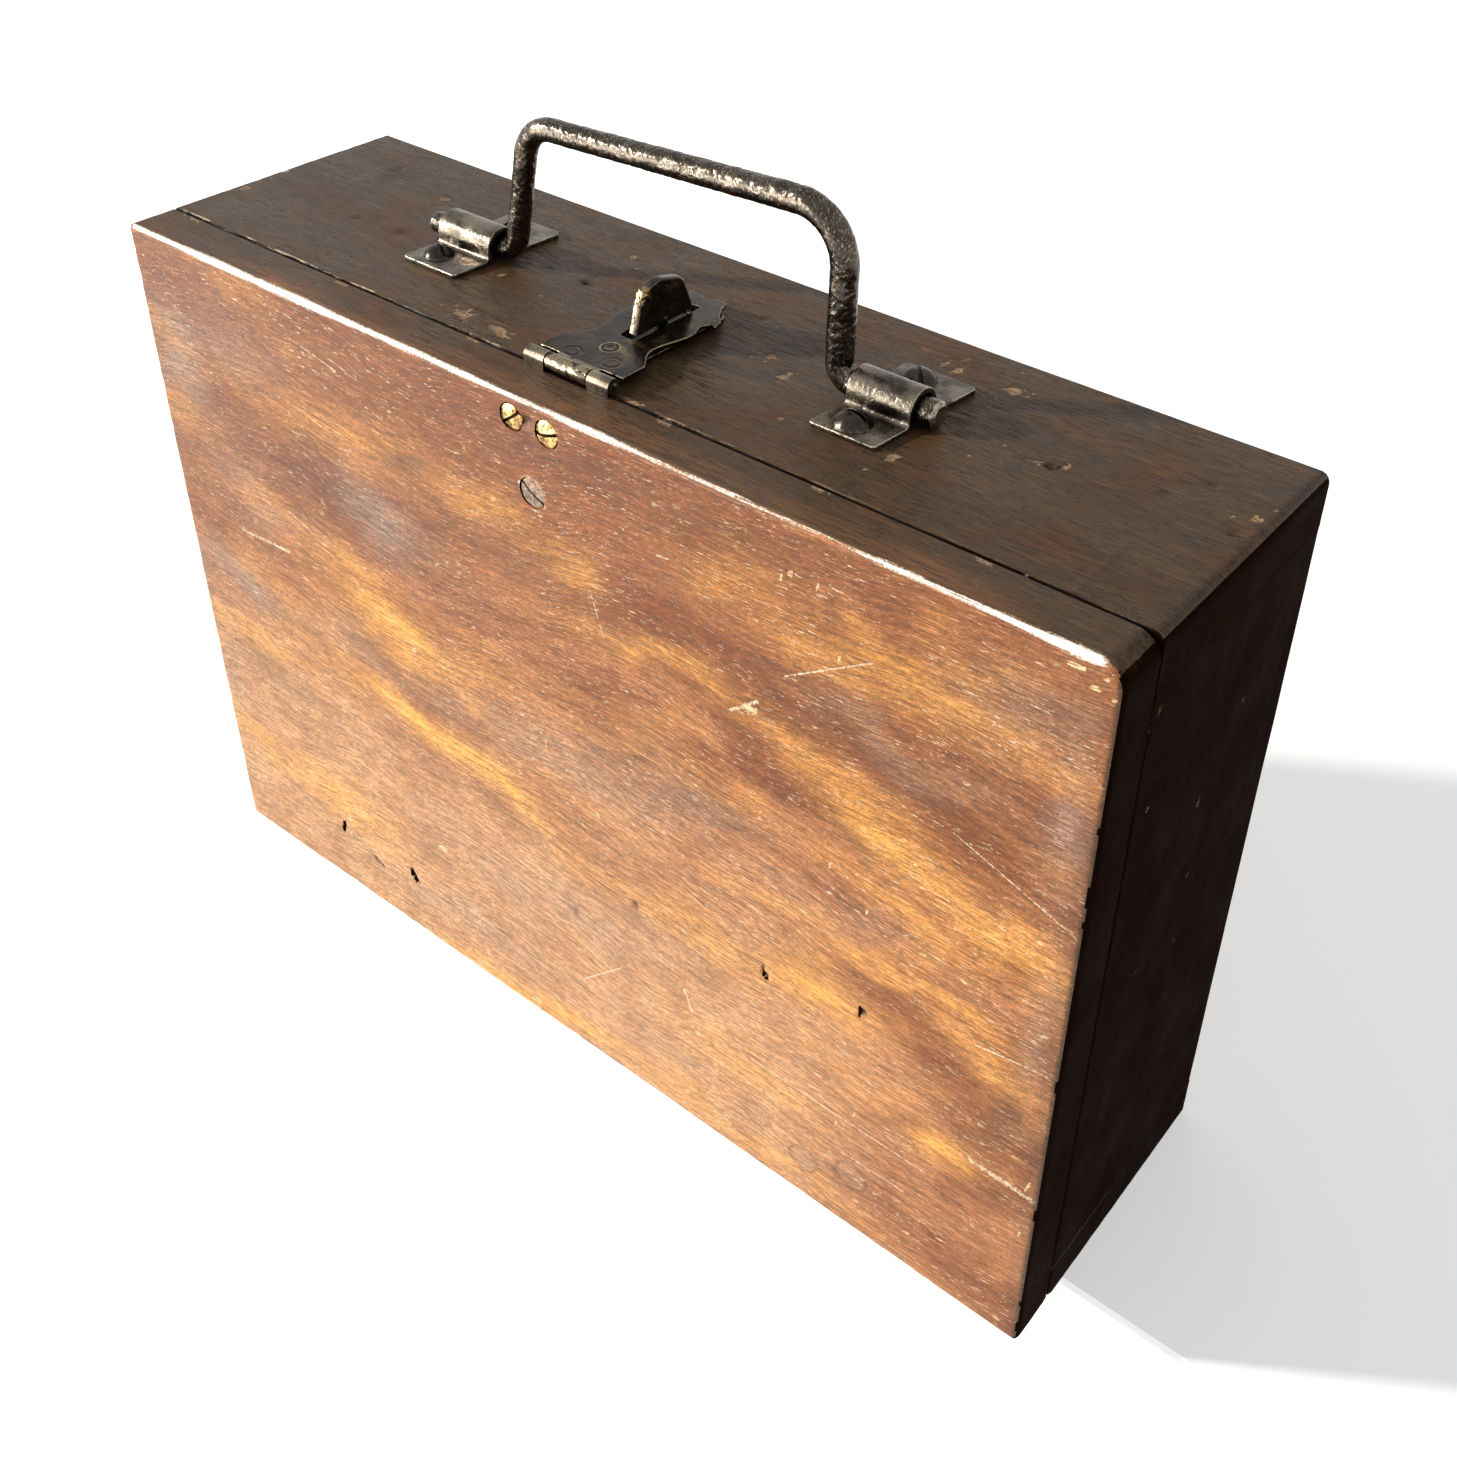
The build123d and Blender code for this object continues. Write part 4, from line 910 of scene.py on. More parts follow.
def shape_lid(obj, wood):
    """Grain relief, worn edges, old holes, cracks and chips of the lid, and where its stain has worn."""
    mesh = obj.data
    points, normals = vertex_array(mesh), vertex_array(mesh, "normal")
    x, y, z = points.T
    front = smooth_step(-normals[:, 1], 0.35, 0.75)
    broad = rough_noise(points, 22, 9)
    rim, wear = lid_wear(points, broad, wood)
    relief = wood.grain_height * rough_noise(points, (30, 260, 260), 1)
    relief += 0.00012 * rough_noise(points, (14, 18, 18), 2)
    iron_x, iron_z, iron_radius = screw_heads()[2]
    around = np.hypot(x - iron_x, z - iron_z) - iron_radius - 0.0004
    wear = np.maximum(wear, (0.42 + 0.25 * rough_noise(points, 500, 19)) * mound((around, 0.0008)) * front)
    bitten = 0.00022 * smooth_step(rim, 0.0022, 0.0008) * smooth_step(rough_noise(points, 190, 12), 0.0, 0.8)
    chip = chips(points, from_corner(LID_CHIPS), 0, 2)
    near_seam = smooth_step(y, LID_HIGH.y - 0.0022, LID_HIGH.y - 0.0008)
    seam = chips(points, from_corner(SEAM_CHIPS), 0, 2, 14) * (1 - front) * near_seam
    cracks = slit(points, SLIT_CRACKS) * front
    plug, ring = filled_holes(points, front)
    gouge = mound((x - CORNER.x - GOUGE[0], GOUGE[2]), (z - GOUGE[1], GOUGE[3])) * front
    sink = bitten + 0.00025 * (chip * front + seam) + cracks + 0.0012 * gouge
    sink += 0.0002 * ring + 0.00022 * plug * (0.4 + 0.6 * rough_noise(points, 500, 15))
    outer = smooth_step(y, LID_HIGH.y - 0.0004, LID_HIGH.y - 0.0012)
    set_vertices(mesh, points + normals * ((relief - sink) * outer)[:, None])

    from_left, to_right = x - LID_LOW.x, LID_HIGH.x - x
    # pale lightens the face towards the bottom and deep darkens it towards the top: partly stain, partly
    # painted light reflected up from the floor.
    pale = smooth_step(z + 0.015 * broad, 0.15, 0.05) * smooth_step(from_left + 0.02 * broad, 0.34, 0.24)
    deep = smooth_step(z + 0.02 * broad, 0.14, 0.245) + 0.35 * smooth_step(from_left, 0.05, 0.0)
    deep *= 1 - 0.25 * smooth_step(from_left, 0.25, 0.34)
    thin = blotches(points, from_corner(THIN_STAIN), 0, 2, 0.007) * front
    thin += 0.22 * smooth_step(rough_noise(points, (22, 40, 60), 17, 4), 0.1, 0.9) * front
    fade = blotches(points, from_corner(DULL), 0, 2, 0.007, 4) * front + 0.25 * plug
    dark = blotches(points, from_corner(DARK_STAIN), 0, 2, 0.006, 6) * front
    rounded = 0.36 * smooth_step(to_right * (1 + 0.3 * broad), 0.0105, 0.001) * smooth_step(z, 0.235, 0.19)
    rounded *= front
    # dark: stains, darker near the upper right edge, and painted shade in the cracks, the gouge and the rings
    # round the filled holes.
    dark = np.maximum.reduce([dark, smooth_step(cracks, 0.0002, 0.0007), 0.85 * gouge, 0.4 * ring, rounded])
    # glow: a painted warm sheen on the top strip near the front edge, where the light catches it.
    glow = smooth_step(y, LID_LOW.y + 0.011, LID_LOW.y + 0.002) * smooth_step(normals[:, 2], 0.4, 0.8)
    glow *= np.clip(0.5 + 0.7 * rough_noise(points, (26, 90, 26), 41), 0, 1)
    rim_paint = np.maximum(1 - front, 0.62 * smooth_step(to_right, 0.0042, 0.0008))
    marks = {"pale": 0.85 * pale * front, "deep": np.clip(deep, 0, 1) * front, "thin": thin * (1 - plug),
             "fade": fade, "dark": dark, "wear": np.maximum(wear, seam), "chip": chip * front, "glow": glow,
             "rim": rim_paint}
    for name, values in marks.items():
        store(mesh, name, np.clip(values, 0, 1))


def hinge_cutters(leaf, low_y, high_y):
    """Barrel pockets and mortises of both hinges, from the places of the hinges' own nodes."""
    gap, barrel_room, leaf_room = 0.0003, 0.0004, 0.00003
    tools = []
    for name in ("left", "right"):
        low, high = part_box(f"hinge_{name}_pin")
        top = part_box(f"hinge_{name}_{leaf}_leaf")[1].z + leaf_room
        centre = (low + high) / 2
        radius = (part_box(f"hinge_{name}_lid_leaf")[1].y - centre.y) + barrel_room
        tools.append(rod_shape(0, (centre.y, centre.z), radius, low.x - gap, high.x + gap))
        tools.append(box_shape((low.x - gap, low_y, -MM), (high.x + gap, high_y, top)))
    return tools


def groove_cutter(face_y, side):
    """The groove that lets the lid drop: a wedge below the hinges' pins."""
    top, slope = 0.00315, math.radians(52)
    run = top * math.tan(slope)
    profile = [(face_y - side * MM, top), (face_y, top), (face_y + side * run, 0),
               (face_y + side * run, -MM), (face_y - side * MM, -MM)]
    points = [(x, y, z) for x in (LID_LOW.x - MM, LID_HIGH.x + MM) for y, z in profile]
    n = len(profile)
    faces = [list(range(n)), list(range(n, 2 * n))]
    return points, faces + [(i, (i + 1) % n, n + (i + 1) % n, n + i) for i in range(n)]


# Finer cells where the lid's face has detail: start, end and cell, in metres, across and then up.
LID_WIDTH = LID_HIGH.x - LID_LOW.x
LID_ZONES = ([(0.0005, 0.007, 0.0009), (0.053, 0.104, 0.0007), (0.164, 0.187, 0.0006), (0.250, 0.302, 0.0008),
              (LID_WIDTH - 0.011, LID_WIDTH - 0.0018, 0.0007)],
             [(0.001, 0.007, 0.0009), (0.011, 0.033, 0.0007), (0.083, 0.089, 0.0009), (0.237, 0.248, 0.0007)])


class SHOEBOX_OT_lid(bpy.types.Operator):
    """Makes the lid board"""
    bl_idname = "shoebox.lid"
    bl_label = "Lid board"

    def execute(self, context):
        wood = context.scene.shoebox_wood
        lid = board("lid_board_front", LID_LOW, LID_HIGH, 1, -1, cell=0.0023,
                    edges=((0.0005, 0.0018), (0.001, 0.002)), corners=(0.001, 0.002, 0.001, 0.0068),
                    zones=LID_ZONES)
        shape_lid(lid, wood)
        tools = hinge_cutters("lid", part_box("hinge_left_lid_leaf")[0].y, LID_HIGH.y + MM)
        tools.append(groove_cutter(LID_HIGH.y, -1))
        base_low, base_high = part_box("hasp_base_leaf")
        slack = 0.00003
        tools.append(box_shape((base_low.x - slack, LID_HIGH.y - 0.0012, base_low.z - slack),
                               (base_high.x + slack, LID_HIGH.y + MM, LID_HIGH.z + MM)))
        for x, z, radius in screw_heads():
            tools.append(rod_shape(1, (x, z), radius, LID_LOW.y - 2 * MM, LID_LOW.y + 1.7 * MM, 40))
        cut(lid, tools)
        smooth(lid, 42)
        finish_piece(lid, lid_paint(wood), "lid_wood", "lid", "lid_board")
        for name in ("top", "ends", "inside"):
            lid.data.materials.append(self.varnish(name, wood))
        on_top_side, on_ends, on_inside = 1, 2, 3
        for face in lid.data.polygons:
            if face.center.y < LID_LOW.y + STAIN_REACH and abs(face.normal.x) < 0.5:
                continue
            if face.normal.y > 0.7:
                face.material_index = on_inside
            else:
                face.material_index = on_top_side if face.normal.z > 0.7 else on_ends
        return {"FINISHED"}

    @staticmethod
    def varnish(name, wood):
        """The dark varnish of the top, the ends' varnish darkened nearly to black as painted shade, or the
        bare wood inside.
        """
        if name == "top":
            slits = [(on_top(*start), on_top(*end), width * MM) for start, end, width in TOP_SLITS]
            return bpy.data.materials.get("case_varnish") or case_paint(
                "case_varnish", wood.case_brown, wood, grain_axis=0, roughness=0.3, gloss=0.13, bare=0.62,
                relief=0.00042, slits=slits, seam=True)
        if name in ("inside", "inside_ends"):
            grain = 2 if "ends" in name else 0
            return bpy.data.materials.get(name + "_wood") or raw_board(name + "_wood", wood, grain)
        # Painted shade: the ends, the bottom and the boards' end faces get this varnish darkened nearly to
        # black.
        return bpy.data.materials.get("end_varnish") or case_paint(
            "end_varnish", wood.side_brown_in_shade, wood, grain_axis=2, roughness=0.6, gloss=0.004, bare=0.25,
            relief=0.0001)


def screw_heads():
    """Middle and radius of each screw head's seat in the lid's face."""
    low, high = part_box("hasp_brass_screws")
    radius, room = 0.004, 0.00035
    left_z, right_z = high.z - radius, low.z + radius
    seats = [(low.x + radius, left_z, radius + room), (high.x - radius, right_z, radius + room)]
    low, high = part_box("hasp_iron_screw")
    seats.append(((low.x + high.x) / 2, (low.z + high.z) / 2, (high.z - low.z) / 2 + 0.5 * room))
    return seats


# ---- case --------------------------------------------------------------------------------
# Marks on the top, across and back from the lid's front left corner, in millimetres. Dents have a middle,
# a half width and the share of it front to back; the first two are holes. Worn stain and the painted
# reflections have a middle, two half widths, a turn in degrees and a strength.
TOP_CHIPS = [
    (125.8, 24.1, 2.3, 1.6), (139.8, 24.5, 1.5, 2.6), (143.5, 22.8, 1.0, 2.2), (219.6, 55.2, 2.0, 0.7),
    (58.9, 78.0, 1.6, 1.1), (272.0, 88.8, 2.6, 0.8), (267.1, 39.6, 2.2, 0.6), (209.5, 62.0, 1.5, 0.6),
    (350.9, 72.8, 1.2, 1.0), (136.5, 85.5, 1.8, 0.5), (249.0, 90.5, 1.4, 0.6), (233.5, 36.5, 0.9, 1.3),
    (199.1, 17.6, 1.4, 1.8), (115.2, 49.6, 0.9, 1.2), (254.0, 88.2, 1.6, 1.0), (303.0, 63.8, 1.4, 0.6),
    (296.0, 61.0, 1.0, 1.5), (1.0, 60.0, 1.0, 1.0), (2.0, 42.0, 1.6, 1.0), (356.0, 77.2, 1.5, 1.2),
]
TOP_DENTS = [
    (138.4, 62.3, 1.4, 0.7), (300.2, 61.5, 1.3, 0.7), (32.8, 79.7, 4.2, 1.5), (49.0, 48.6, 1.7, 1.2),
    (68.8, 51.2, 2.4, 1.4), (335.1, 79.2, 1.7, 0.8), (349.4, 62.5, 1.8, 1.0), (327.9, 68.1, 1.2, 1.0),
    (28.0, 84.0, 2.0, 2.2), (194.0, 79.0, 1.4, 1.5),
]
TOP_THIN = [
    (240.5, 91.8, 3.6, 1.2, -18, 0.8), (246.5, 90.2, 4.5, 0.8, -8, 0.65),
    (252.6, 94.0, 1.0, 3.4, -28, 0.8), (238.0, 94.0, 1.4, 1.0, 0, 0.6), (2, 88, 4, 2.5, 0, 0.5),
    (175, 80, 5, 1.6, 10, 0.6), (182, 85.5, 3, 1.0, 0, 0.6), (196, 17.5, 5, 1.2, 0, 0.5),
]
# Painted reflections: reddish streaks where the glossy top mirrors the handle's legs and the knob instead of
# the bright sky.
TOP_PAINTED_REFLECTIONS = [(132, 42, 22, 8, -38, 0.2), (262, 26, 10, 12, -50, 0.2), (196, 40, 6, 20, 0, 0.16)]
# Slits in the top: two ends and a width. Millimetres.
TOP_SLITS = [
    ((136.9, 61.8), (140.2, 62.8), 1.1), ((298.6, 61.0), (301.6, 62.0), 1.2),
    ((348.2, 62.2), (350.6, 62.9), 0.7), ((229.0, 75.6), (232.6, 75.6), 0.4),
    ((60.5, 76.2), (62.8, 79.0), 0.5), ((194.2, 76.6), (198.4, 76.9), 0.5),
]


def board_edges(points, low, high, axis, side):
    """Distance of each point to the nearest edge of a board's outer face."""
    others = [a for a in range(3) if a != axis]
    gaps = [points[:, a] - low[a] for a in others] + [high[a] - points[:, a] for a in others]
    span = np.minimum.reduce(gaps)
    depth = high[axis] - points[:, axis] if side > 0 else points[:, axis] - low[axis]
    return np.hypot(np.clip(span, 0, None), np.clip(depth, 0, None)), depth


def shape_board(obj, low, high, axis, side, wood, grain, seed, worn=1.0, extra=None):
    """Grain relief and worn edges of a board; extra adds this board's own marks."""
    mesh = obj.data
    points, normals = vertex_array(mesh), vertex_array(mesh, "normal")
    stretch = [30 if a == grain else 240 for a in range(3)]
    relief = wood.grain_height * rough_noise(points, stretch, seed)
    relief += 0.0001 * rough_noise(points, 16, seed + 1)
    rim, depth = board_edges(points, low, high, axis, side)
    ragged = rough_noise(points, 150, seed + 2, 4)
    reach = (0.45 + 0.7 * smooth_step(rough_noise(points, 30, seed + 3), 0.0, 0.9)) * worn * MM
    wear = np.clip(0.95 - 0.6 * rim / np.maximum(reach * wood.edge_wear / 0.6, 0.0001), 0, 1)
    marks = dict.fromkeys(("sink", "wear", "thin", "dark"), 0 * rim)
    if extra:
        marks.update(extra(points, normals))
    keep = smooth_step(high[axis] - low[axis] - depth, 0.0002, 0.001)
    sink = 0.0002 * wear * smooth_step(ragged, -0.2, 0.6) + marks["sink"]
    set_vertices(mesh, points + normals * ((relief - sink) * keep)[:, None])
    marks["wear"] = np.maximum(marks["wear"], wear)
    for name in ("wear", "thin", "dark"):
        store(mesh, name, np.clip(marks[name], 0, 1))


def top_marks(points, normals):
    """Chips, dents, two old holes, a fine ridge and worn stain of the top, and the painted reflections of the
    handle's legs and the knob.
    """
    up = smooth_step(normals[:, 2], 0.5, 0.9)
    chip = chips(points, from_front(TOP_CHIPS), 0, 1, 31) * up
    dents = from_front(TOP_DENTS)
    dent = blotches(points, [(x, y, a, a * b, 0, 1) for x, y, a, b in dents], 0, 1, 0.0006, 33) * up
    holes = blotches(points, [(x, y, a, a * b, 0, 1) for x, y, a, b in dents[:2]], 0, 1, 0.0005, 34) * up
    ridge = mound((points[:, 0] - CORNER.x - 0.332, 0.0006)) * (points[:, 1] < CORNER.y + 0.046) * up
    seam = smooth_step(points[:, 1], TOP_LOW.y + 0.0016, TOP_LOW.y + 0.0004)
    seam_chip = seam * smooth_step(rough_noise(points, 140, 36, 4), 0.8, 1.0)
    thin = blotches(points, from_front(TOP_THIN), 0, 1, 0.0016, 35)
    # red: painted reflections of the handle's legs and the knob, laid with the thin stain.
    red = blotches(points, from_front(TOP_PAINTED_REFLECTIONS), 0, 1, 0.004, 37)
    crease = rough_noise(points, (60, 420, 60), 38)
    sink = 0.00028 * chip + 0.0004 * dent + 0.0012 * holes - 0.00012 * ridge + 0.0002 * seam_chip
    sink -= 0.00004 * crease * up
    return {"sink": sink, "wear": np.maximum(chip, 0.8 * seam_chip), "thin": np.maximum(thin, red) * up,
            # dark: holes and dents darkened, partly dirt, partly painted shade.
            "dark": np.maximum(0.6 * holes, 0.3 * dent)}


class SHOEBOX_OT_case(bpy.types.Operator):
    """Makes the five boards of the case"""
    bl_idname = "shoebox.case"
    bl_label = "Case boards"

    def execute(self, context):
        wood = context.scene.shoebox_wood
        panel_low, panel_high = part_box("case_back_panel")
        recess = box_shape(panel_low, (panel_high.x, TOP_HIGH.y + MM, panel_high.z))
        top = board("case_top", TOP_LOW, TOP_HIGH, 2, 1, cell=0.00085,
                    edges=((0.0008, 0.0034), (0.0006, 0.0006)))
        shape_board(top, TOP_LOW, TOP_HIGH, 2, 1, wood, grain=0, seed=30, worn=0.3, extra=top_marks)
        cut(top, [recess])
        # paint_side carries painted shade: the ends' varnish darkened nearly to black.
        paint_top, paint_side = (SHOEBOX_OT_lid.varnish(name, wood) for name in ("top", "ends"))
        finish_piece(smooth(top), paint_top, "case_wood", "case", "case_top_board")
        self.paint_faces(top, 2, -1, wood, ends=True)
        for name, side, seed in (("left", -1, 50), ("right", 1, 60)):
            low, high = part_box(f"case_{name}_end")
            end = board(f"case_{name}", low, high, 0, side, cell=0.0016,
                        edges=((0.0005,) * 2, (0.0003,) * 2), rows=10)
            shape_board(end, low, high, 0, side, wood, grain=2, seed=seed, worn=0.3, extra=self.end_marks)
            cut(end, [recess])
            finish_piece(smooth(end), paint_side, "case_wood", "case", f"case_{name}_end")
            self.paint_faces(end, 0, -side, wood, "inside_ends")
        bottom = board("case_bottom", BOTTOM_LOW, BOTTOM_HIGH, 2, -1, cell=0.002,
                       edges=((0.0012,) * 2, (0.0008,) * 2), rows=10)
        shape_board(bottom, BOTTOM_LOW, BOTTOM_HIGH, 2, -1, wood, grain=0, seed=70)
        tools = hinge_cutters("case", BOTTOM_LOW.y - MM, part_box("hinge_left_case_leaf")[1].y)
        cut(bottom, [recess, groove_cutter(BOTTOM_LOW.y, 1)] + tools)
        finish_piece(smooth(bottom), paint_side, "case_wood", "case", "case_bottom_board")
        self.paint_faces(bottom, 2, 1, wood)
        back = board("case_back", panel_low, panel_high, 1, 1, cell=0.0021,
                     edges=((0.0004,) * 2, (0.0004,) * 2), rows=3)
        shape_board(back, panel_low, panel_high, 1, 1, wood, grain=0, seed=80, worn=0.4,
                    extra=self.back_marks)
        finish_piece(smooth(back), raw_board("back_wood", wood), "panel_wood", "case", "case_back_panel")
        return {"FINISHED"}

    @staticmethod
    def paint_faces(obj, axis, inner, wood, inside="inside", ends=False):
        """Bare wood on the inner side, and with ends the ends' varnish, darkened nearly to black as painted
        shade, on the top's ends and front.
        """
        for name in (inside, "ends"):
            obj.data.materials.append(SHOEBOX_OT_lid.varnish(name, wood))
        for face in obj.data.polygons:
            if face.normal[axis] * inner > 0.7:
                face.material_index = 1
            elif ends and (abs(face.normal.x) > 0.75 or face.normal.y < -0.9):
                face.material_index = 2

    @staticmethod
    def end_marks(points, normals):
        """Small scuffs, and stain worn thin in streaks."""
        scuffs = smooth_step(rough_noise(points, (300, 300, 240), 52, 3), 1.08, 1.25)
        return {"wear": 0.6 * scuffs,
                "thin": 0.1 * smooth_step(rough_noise(points, (60, 60, 9), 54), 0.3, 0.9)}

    @staticmethod
    def back_marks(points, normals):
        """Faint stains."""
        return {"dark": 0.3 * smooth_step(rough_noise(points, (45, 45, 70), 82, 4), 0.5, 1.2)}


# ---- screws, nails and pins --------------------------------------------------------------
def turned(name):
    """A fastener turned round +Z from its row of BLANKS, with a slot across its head."""
    profile, slot_width, slot_depth, sides, bevel = BLANKS[name]
    points, faces, last = [], [], None
    for radius, height in profile:
        if radius == 0:
            row = [len(points)]
            points.append((0, 0, height))
        else:
            row = list(range(len(points), len(points) + sides))
            turns = [2 * math.pi * i / sides for i in range(sides)]
            points += [(radius * math.cos(turn), radius * math.sin(turn), height) for turn in turns]
        if last:
            for i in range(sides):
                a, b = last[i % len(last)], last[(i + 1) % len(last)]
                c, d = row[(i + 1) % len(row)], row[i % len(row)]
                faces.append(list(dict.fromkeys((a, b, c, d))))
        last = row
    obj = outward(mesh_object(name, points, faces))
    if slot_width:
        reach, top = 2 * max(p[0] for p in profile), profile[0][1]
        cut(obj, [box_shape((-reach, -slot_width / 2, top - slot_depth), (reach, slot_width / 2, top + MM))])
    if bevel:
        edge = obj.modifiers.new("worn", "BEVEL")
        edge.width, edge.segments, edge.limit_method, edge.angle_limit = bevel, 2, "ANGLE", math.radians(35)
        baked(obj)
    # groove marks the slot's floor, which the materials darken as painted shade.
    if slot_width:
        points = vertex_array(obj.data)
        floor = np.abs(points[:, 2] - top + slot_depth) < bevel + 0.00002
        store(obj.data, "groove", floor & (np.abs(points[:, 1]) < 0.6 * slot_width))
    return obj


def dome(radius, height, steps=9):
    """Profile of a domed head, from its top to its rim."""
    ball = (radius ** 2 + height ** 2) / (2 * height)
    angle = math.asin(min(1, radius / ball)) if height <= radius else math.pi / 2
    return [(ball * math.sin(angle * i / steps), height - ball * (1 - math.cos(angle * i / steps)))
            for i in range(steps + 1)]


SADDLE_HEADS = {"left": (0.0048, 0.0032), "right": (0.0056, 0.0036)}     # radius and height
ROUND_SHANK = [(0.002, 0), (0.002, -0.012), (0, -0.012)]
BRASS_SHANK = [(0.004, -0.0003), (0.002, -0.0024), (0.002, -0.0152), (0, -0.0154)]
IRON_SHANK = [(0.0047, -0.0003), (0.0023, -0.0026), (0.0023, -0.0152), (0, -0.0154)]
PIN_SHANK = [(0.0017, -0.0003), (0.0008, -0.0006), (0.0008, -0.0178), (0, -0.018)]
HINGE_SCREW = [(0, 0), (0.0031, 0), (0.0031, -0.0002), (0.0018, -0.0013), (0.0018, -0.013), (0, -0.013)]
PLATE_SCREW = [(0, 0), (0.0027, 0), (0.0027, -0.0002), (0.0014, -0.0014), (0.0014, -0.010), (0, -0.010)]
NAIL = [(0, 0), (0.0024, 0), (0.0024, -0.001), (0.00125, -0.001), (0.00125, -0.036), (0, -0.038)]
# Each blank's (radius, height) points from its head down, its slot's width and depth, the number of its
# sides and the rounding of its edges.
BLANKS = {
    "brass_blank": (dome(0.0039, 0.0009) + BRASS_SHANK, 0.00095, 0.0013, 48, 0.00012),
    "iron_blank": (dome(0.0046, 0.0004) + IRON_SHANK, 0.0010, 0.0012, 48, 0.00012),
    "round_blank_left": (dome(*SADDLE_HEADS["left"], 12) + ROUND_SHANK, 0.0013, 0.0018, 56, 0.00016),
    "round_blank_right": (dome(*SADDLE_HEADS["right"], 12) + ROUND_SHANK, 0.0013, 0.0018, 56, 0.00016),
    "hinge_blank": (HINGE_SCREW, 0.0008, 0.0006, 24, 0.0),
    "plate_blank": (PLATE_SCREW, 0.0007, 0.0006, 24, 0.0),
    "nail_blank": (NAIL, 0.0, 0.0, 16, 0.0),
    "pin_blank": (dome(0.0017, 0.0003, 4) + PIN_SHANK, 0.0, 0.0, 20, 0.0),
}


def fastener_tree():
    """Sets a copy of one fastener at every point, turned as its turn attribute says, slightly battered."""
    web, source = new_group("fasteners", "GeometryNodeTree", ("Geometry", "Geometry"), Geometry="Geometry",
                            Fastener="Object", Finish="Material", Batter="Float", Batter_scale="Float")
    blank = web.add("GeometryNodeObjectInfo", {"Object": source["Fastener"]}, out=4)
    turn = web.add("GeometryNodeInputNamedAttribute", {"Name": "turn"}, data_type="FLOAT_VECTOR")
    spin = web.add("FunctionNodeEulerToRotation", {0: turn})
    copies = web.add("GeometryNodeInstanceOnPoints", {"Points": source["Geometry"], "Instance": blank,
                                                      "Rotation": spin})
    solid = web.add("GeometryNodeRealizeInstances", {"Geometry": copies})
    place = web.add("GeometryNodeInputPosition")
    noise = web.add("ShaderNodeTexNoise", {"Vector": place, "Scale": source["Batter scale"], "Detail": 3.0},
                    out=1)
    centred = web.add("ShaderNodeVectorMath", {0: noise, 1: (0.5, 0.5, 0.5)}, operation="SUBTRACT")
    offset = web.add("ShaderNodeVectorMath", {0: centred, "Scale": source["Batter"]}, operation="SCALE")
    moved = web.add("GeometryNodeSetPosition", {"Geometry": solid, "Offset": offset})
    coated = {"Geometry": moved, "Material": source["Finish"]}
    return end_group(web, web.add("GeometryNodeSetMaterial", coated))


def set_inputs(modifier, **values):
    """Sets a geometry tree's inputs by their sockets' own identifiers."""
    for item in modifier.node_group.interface.items_tree:
        key = item.name.lower().replace(" ", "_")
        if item.item_type == "SOCKET" and item.in_out == "INPUT" and key in values:
            modifier[item.identifier] = values[key]


def facing(lean, slot):
    """Euler turn of a fastener leaned about X, with its slot first turned about its own axis."""
    return tuple((Matrix.Rotation(lean, 3, "X") @ Matrix.Rotation(slot, 3, "Z")).to_euler())


def fasteners(name, blank, places, material, slot, body, *nodes, batter=0.0, batter_scale=400.0):
    """One piece made of a blank at several places; each place is a point and an Euler turn."""
    blank = turned(blank)
    obj = mesh_object(name, [place for place, turn in places], [])
    attribute = obj.data.attributes.new("turn", "FLOAT_VECTOR", "POINT")
    attribute.data.foreach_set("vector", [a for place, turn in places for a in turn])
    modifier = obj.modifiers.new("fasteners", "NODES")
    modifier.node_group = bpy.data.node_groups.get("fasteners") or fastener_tree()
    set_inputs(modifier, fastener=blank, finish=material, batter=batter, batter_scale=batter_scale)
    baked(obj)
    bpy.data.objects.remove(blank)
    store(obj.data, "edge", convexity(obj.data))
    smooth(obj, 38)
    return finish_piece(obj, material, slot, body, *nodes)


FACING_FRONT = math.pi / 2       # Euler X turn of a head that faces -Y
FACING_BACK = -math.pi / 2


def solid_islands(node):
    """Low and high corner of each separate solid in a CAD node, sorted by place."""
    obj = cad_copy("islands", node)
    bm = bmesh.new()
    bm.from_mesh(obj.data)
    left, boxes = set(bm.verts), []
    while left:
        stack, seen = [left.pop()], []
        while stack:
            vert = stack.pop()
            seen.append(vert.co.copy())
            for edge in vert.link_edges:
                other = edge.other_vert(vert)
                if other in left:
                    left.remove(other)
                    stack.append(other)
        low = Vector([min(p[a] for p in seen) for a in range(3)])
        high = Vector([max(p[a] for p in seen) for a in range(3)])
        boxes.append((low, high))
    bm.free()
    bpy.data.objects.remove(obj)
    return sorted(boxes, key=lambda b: tuple(round(c, 5) for c in b[0]))


def heads(node, axis, side):
    """Where each fastener's head is: its solid's middle, moved along axis to its low (0) or high (1) end."""
    places = []
    for ends in solid_islands(node):
        place = (ends[0] + ends[1]) / 2
        place[axis] = ends[side][axis]
        places.append(tuple(place))
    return places


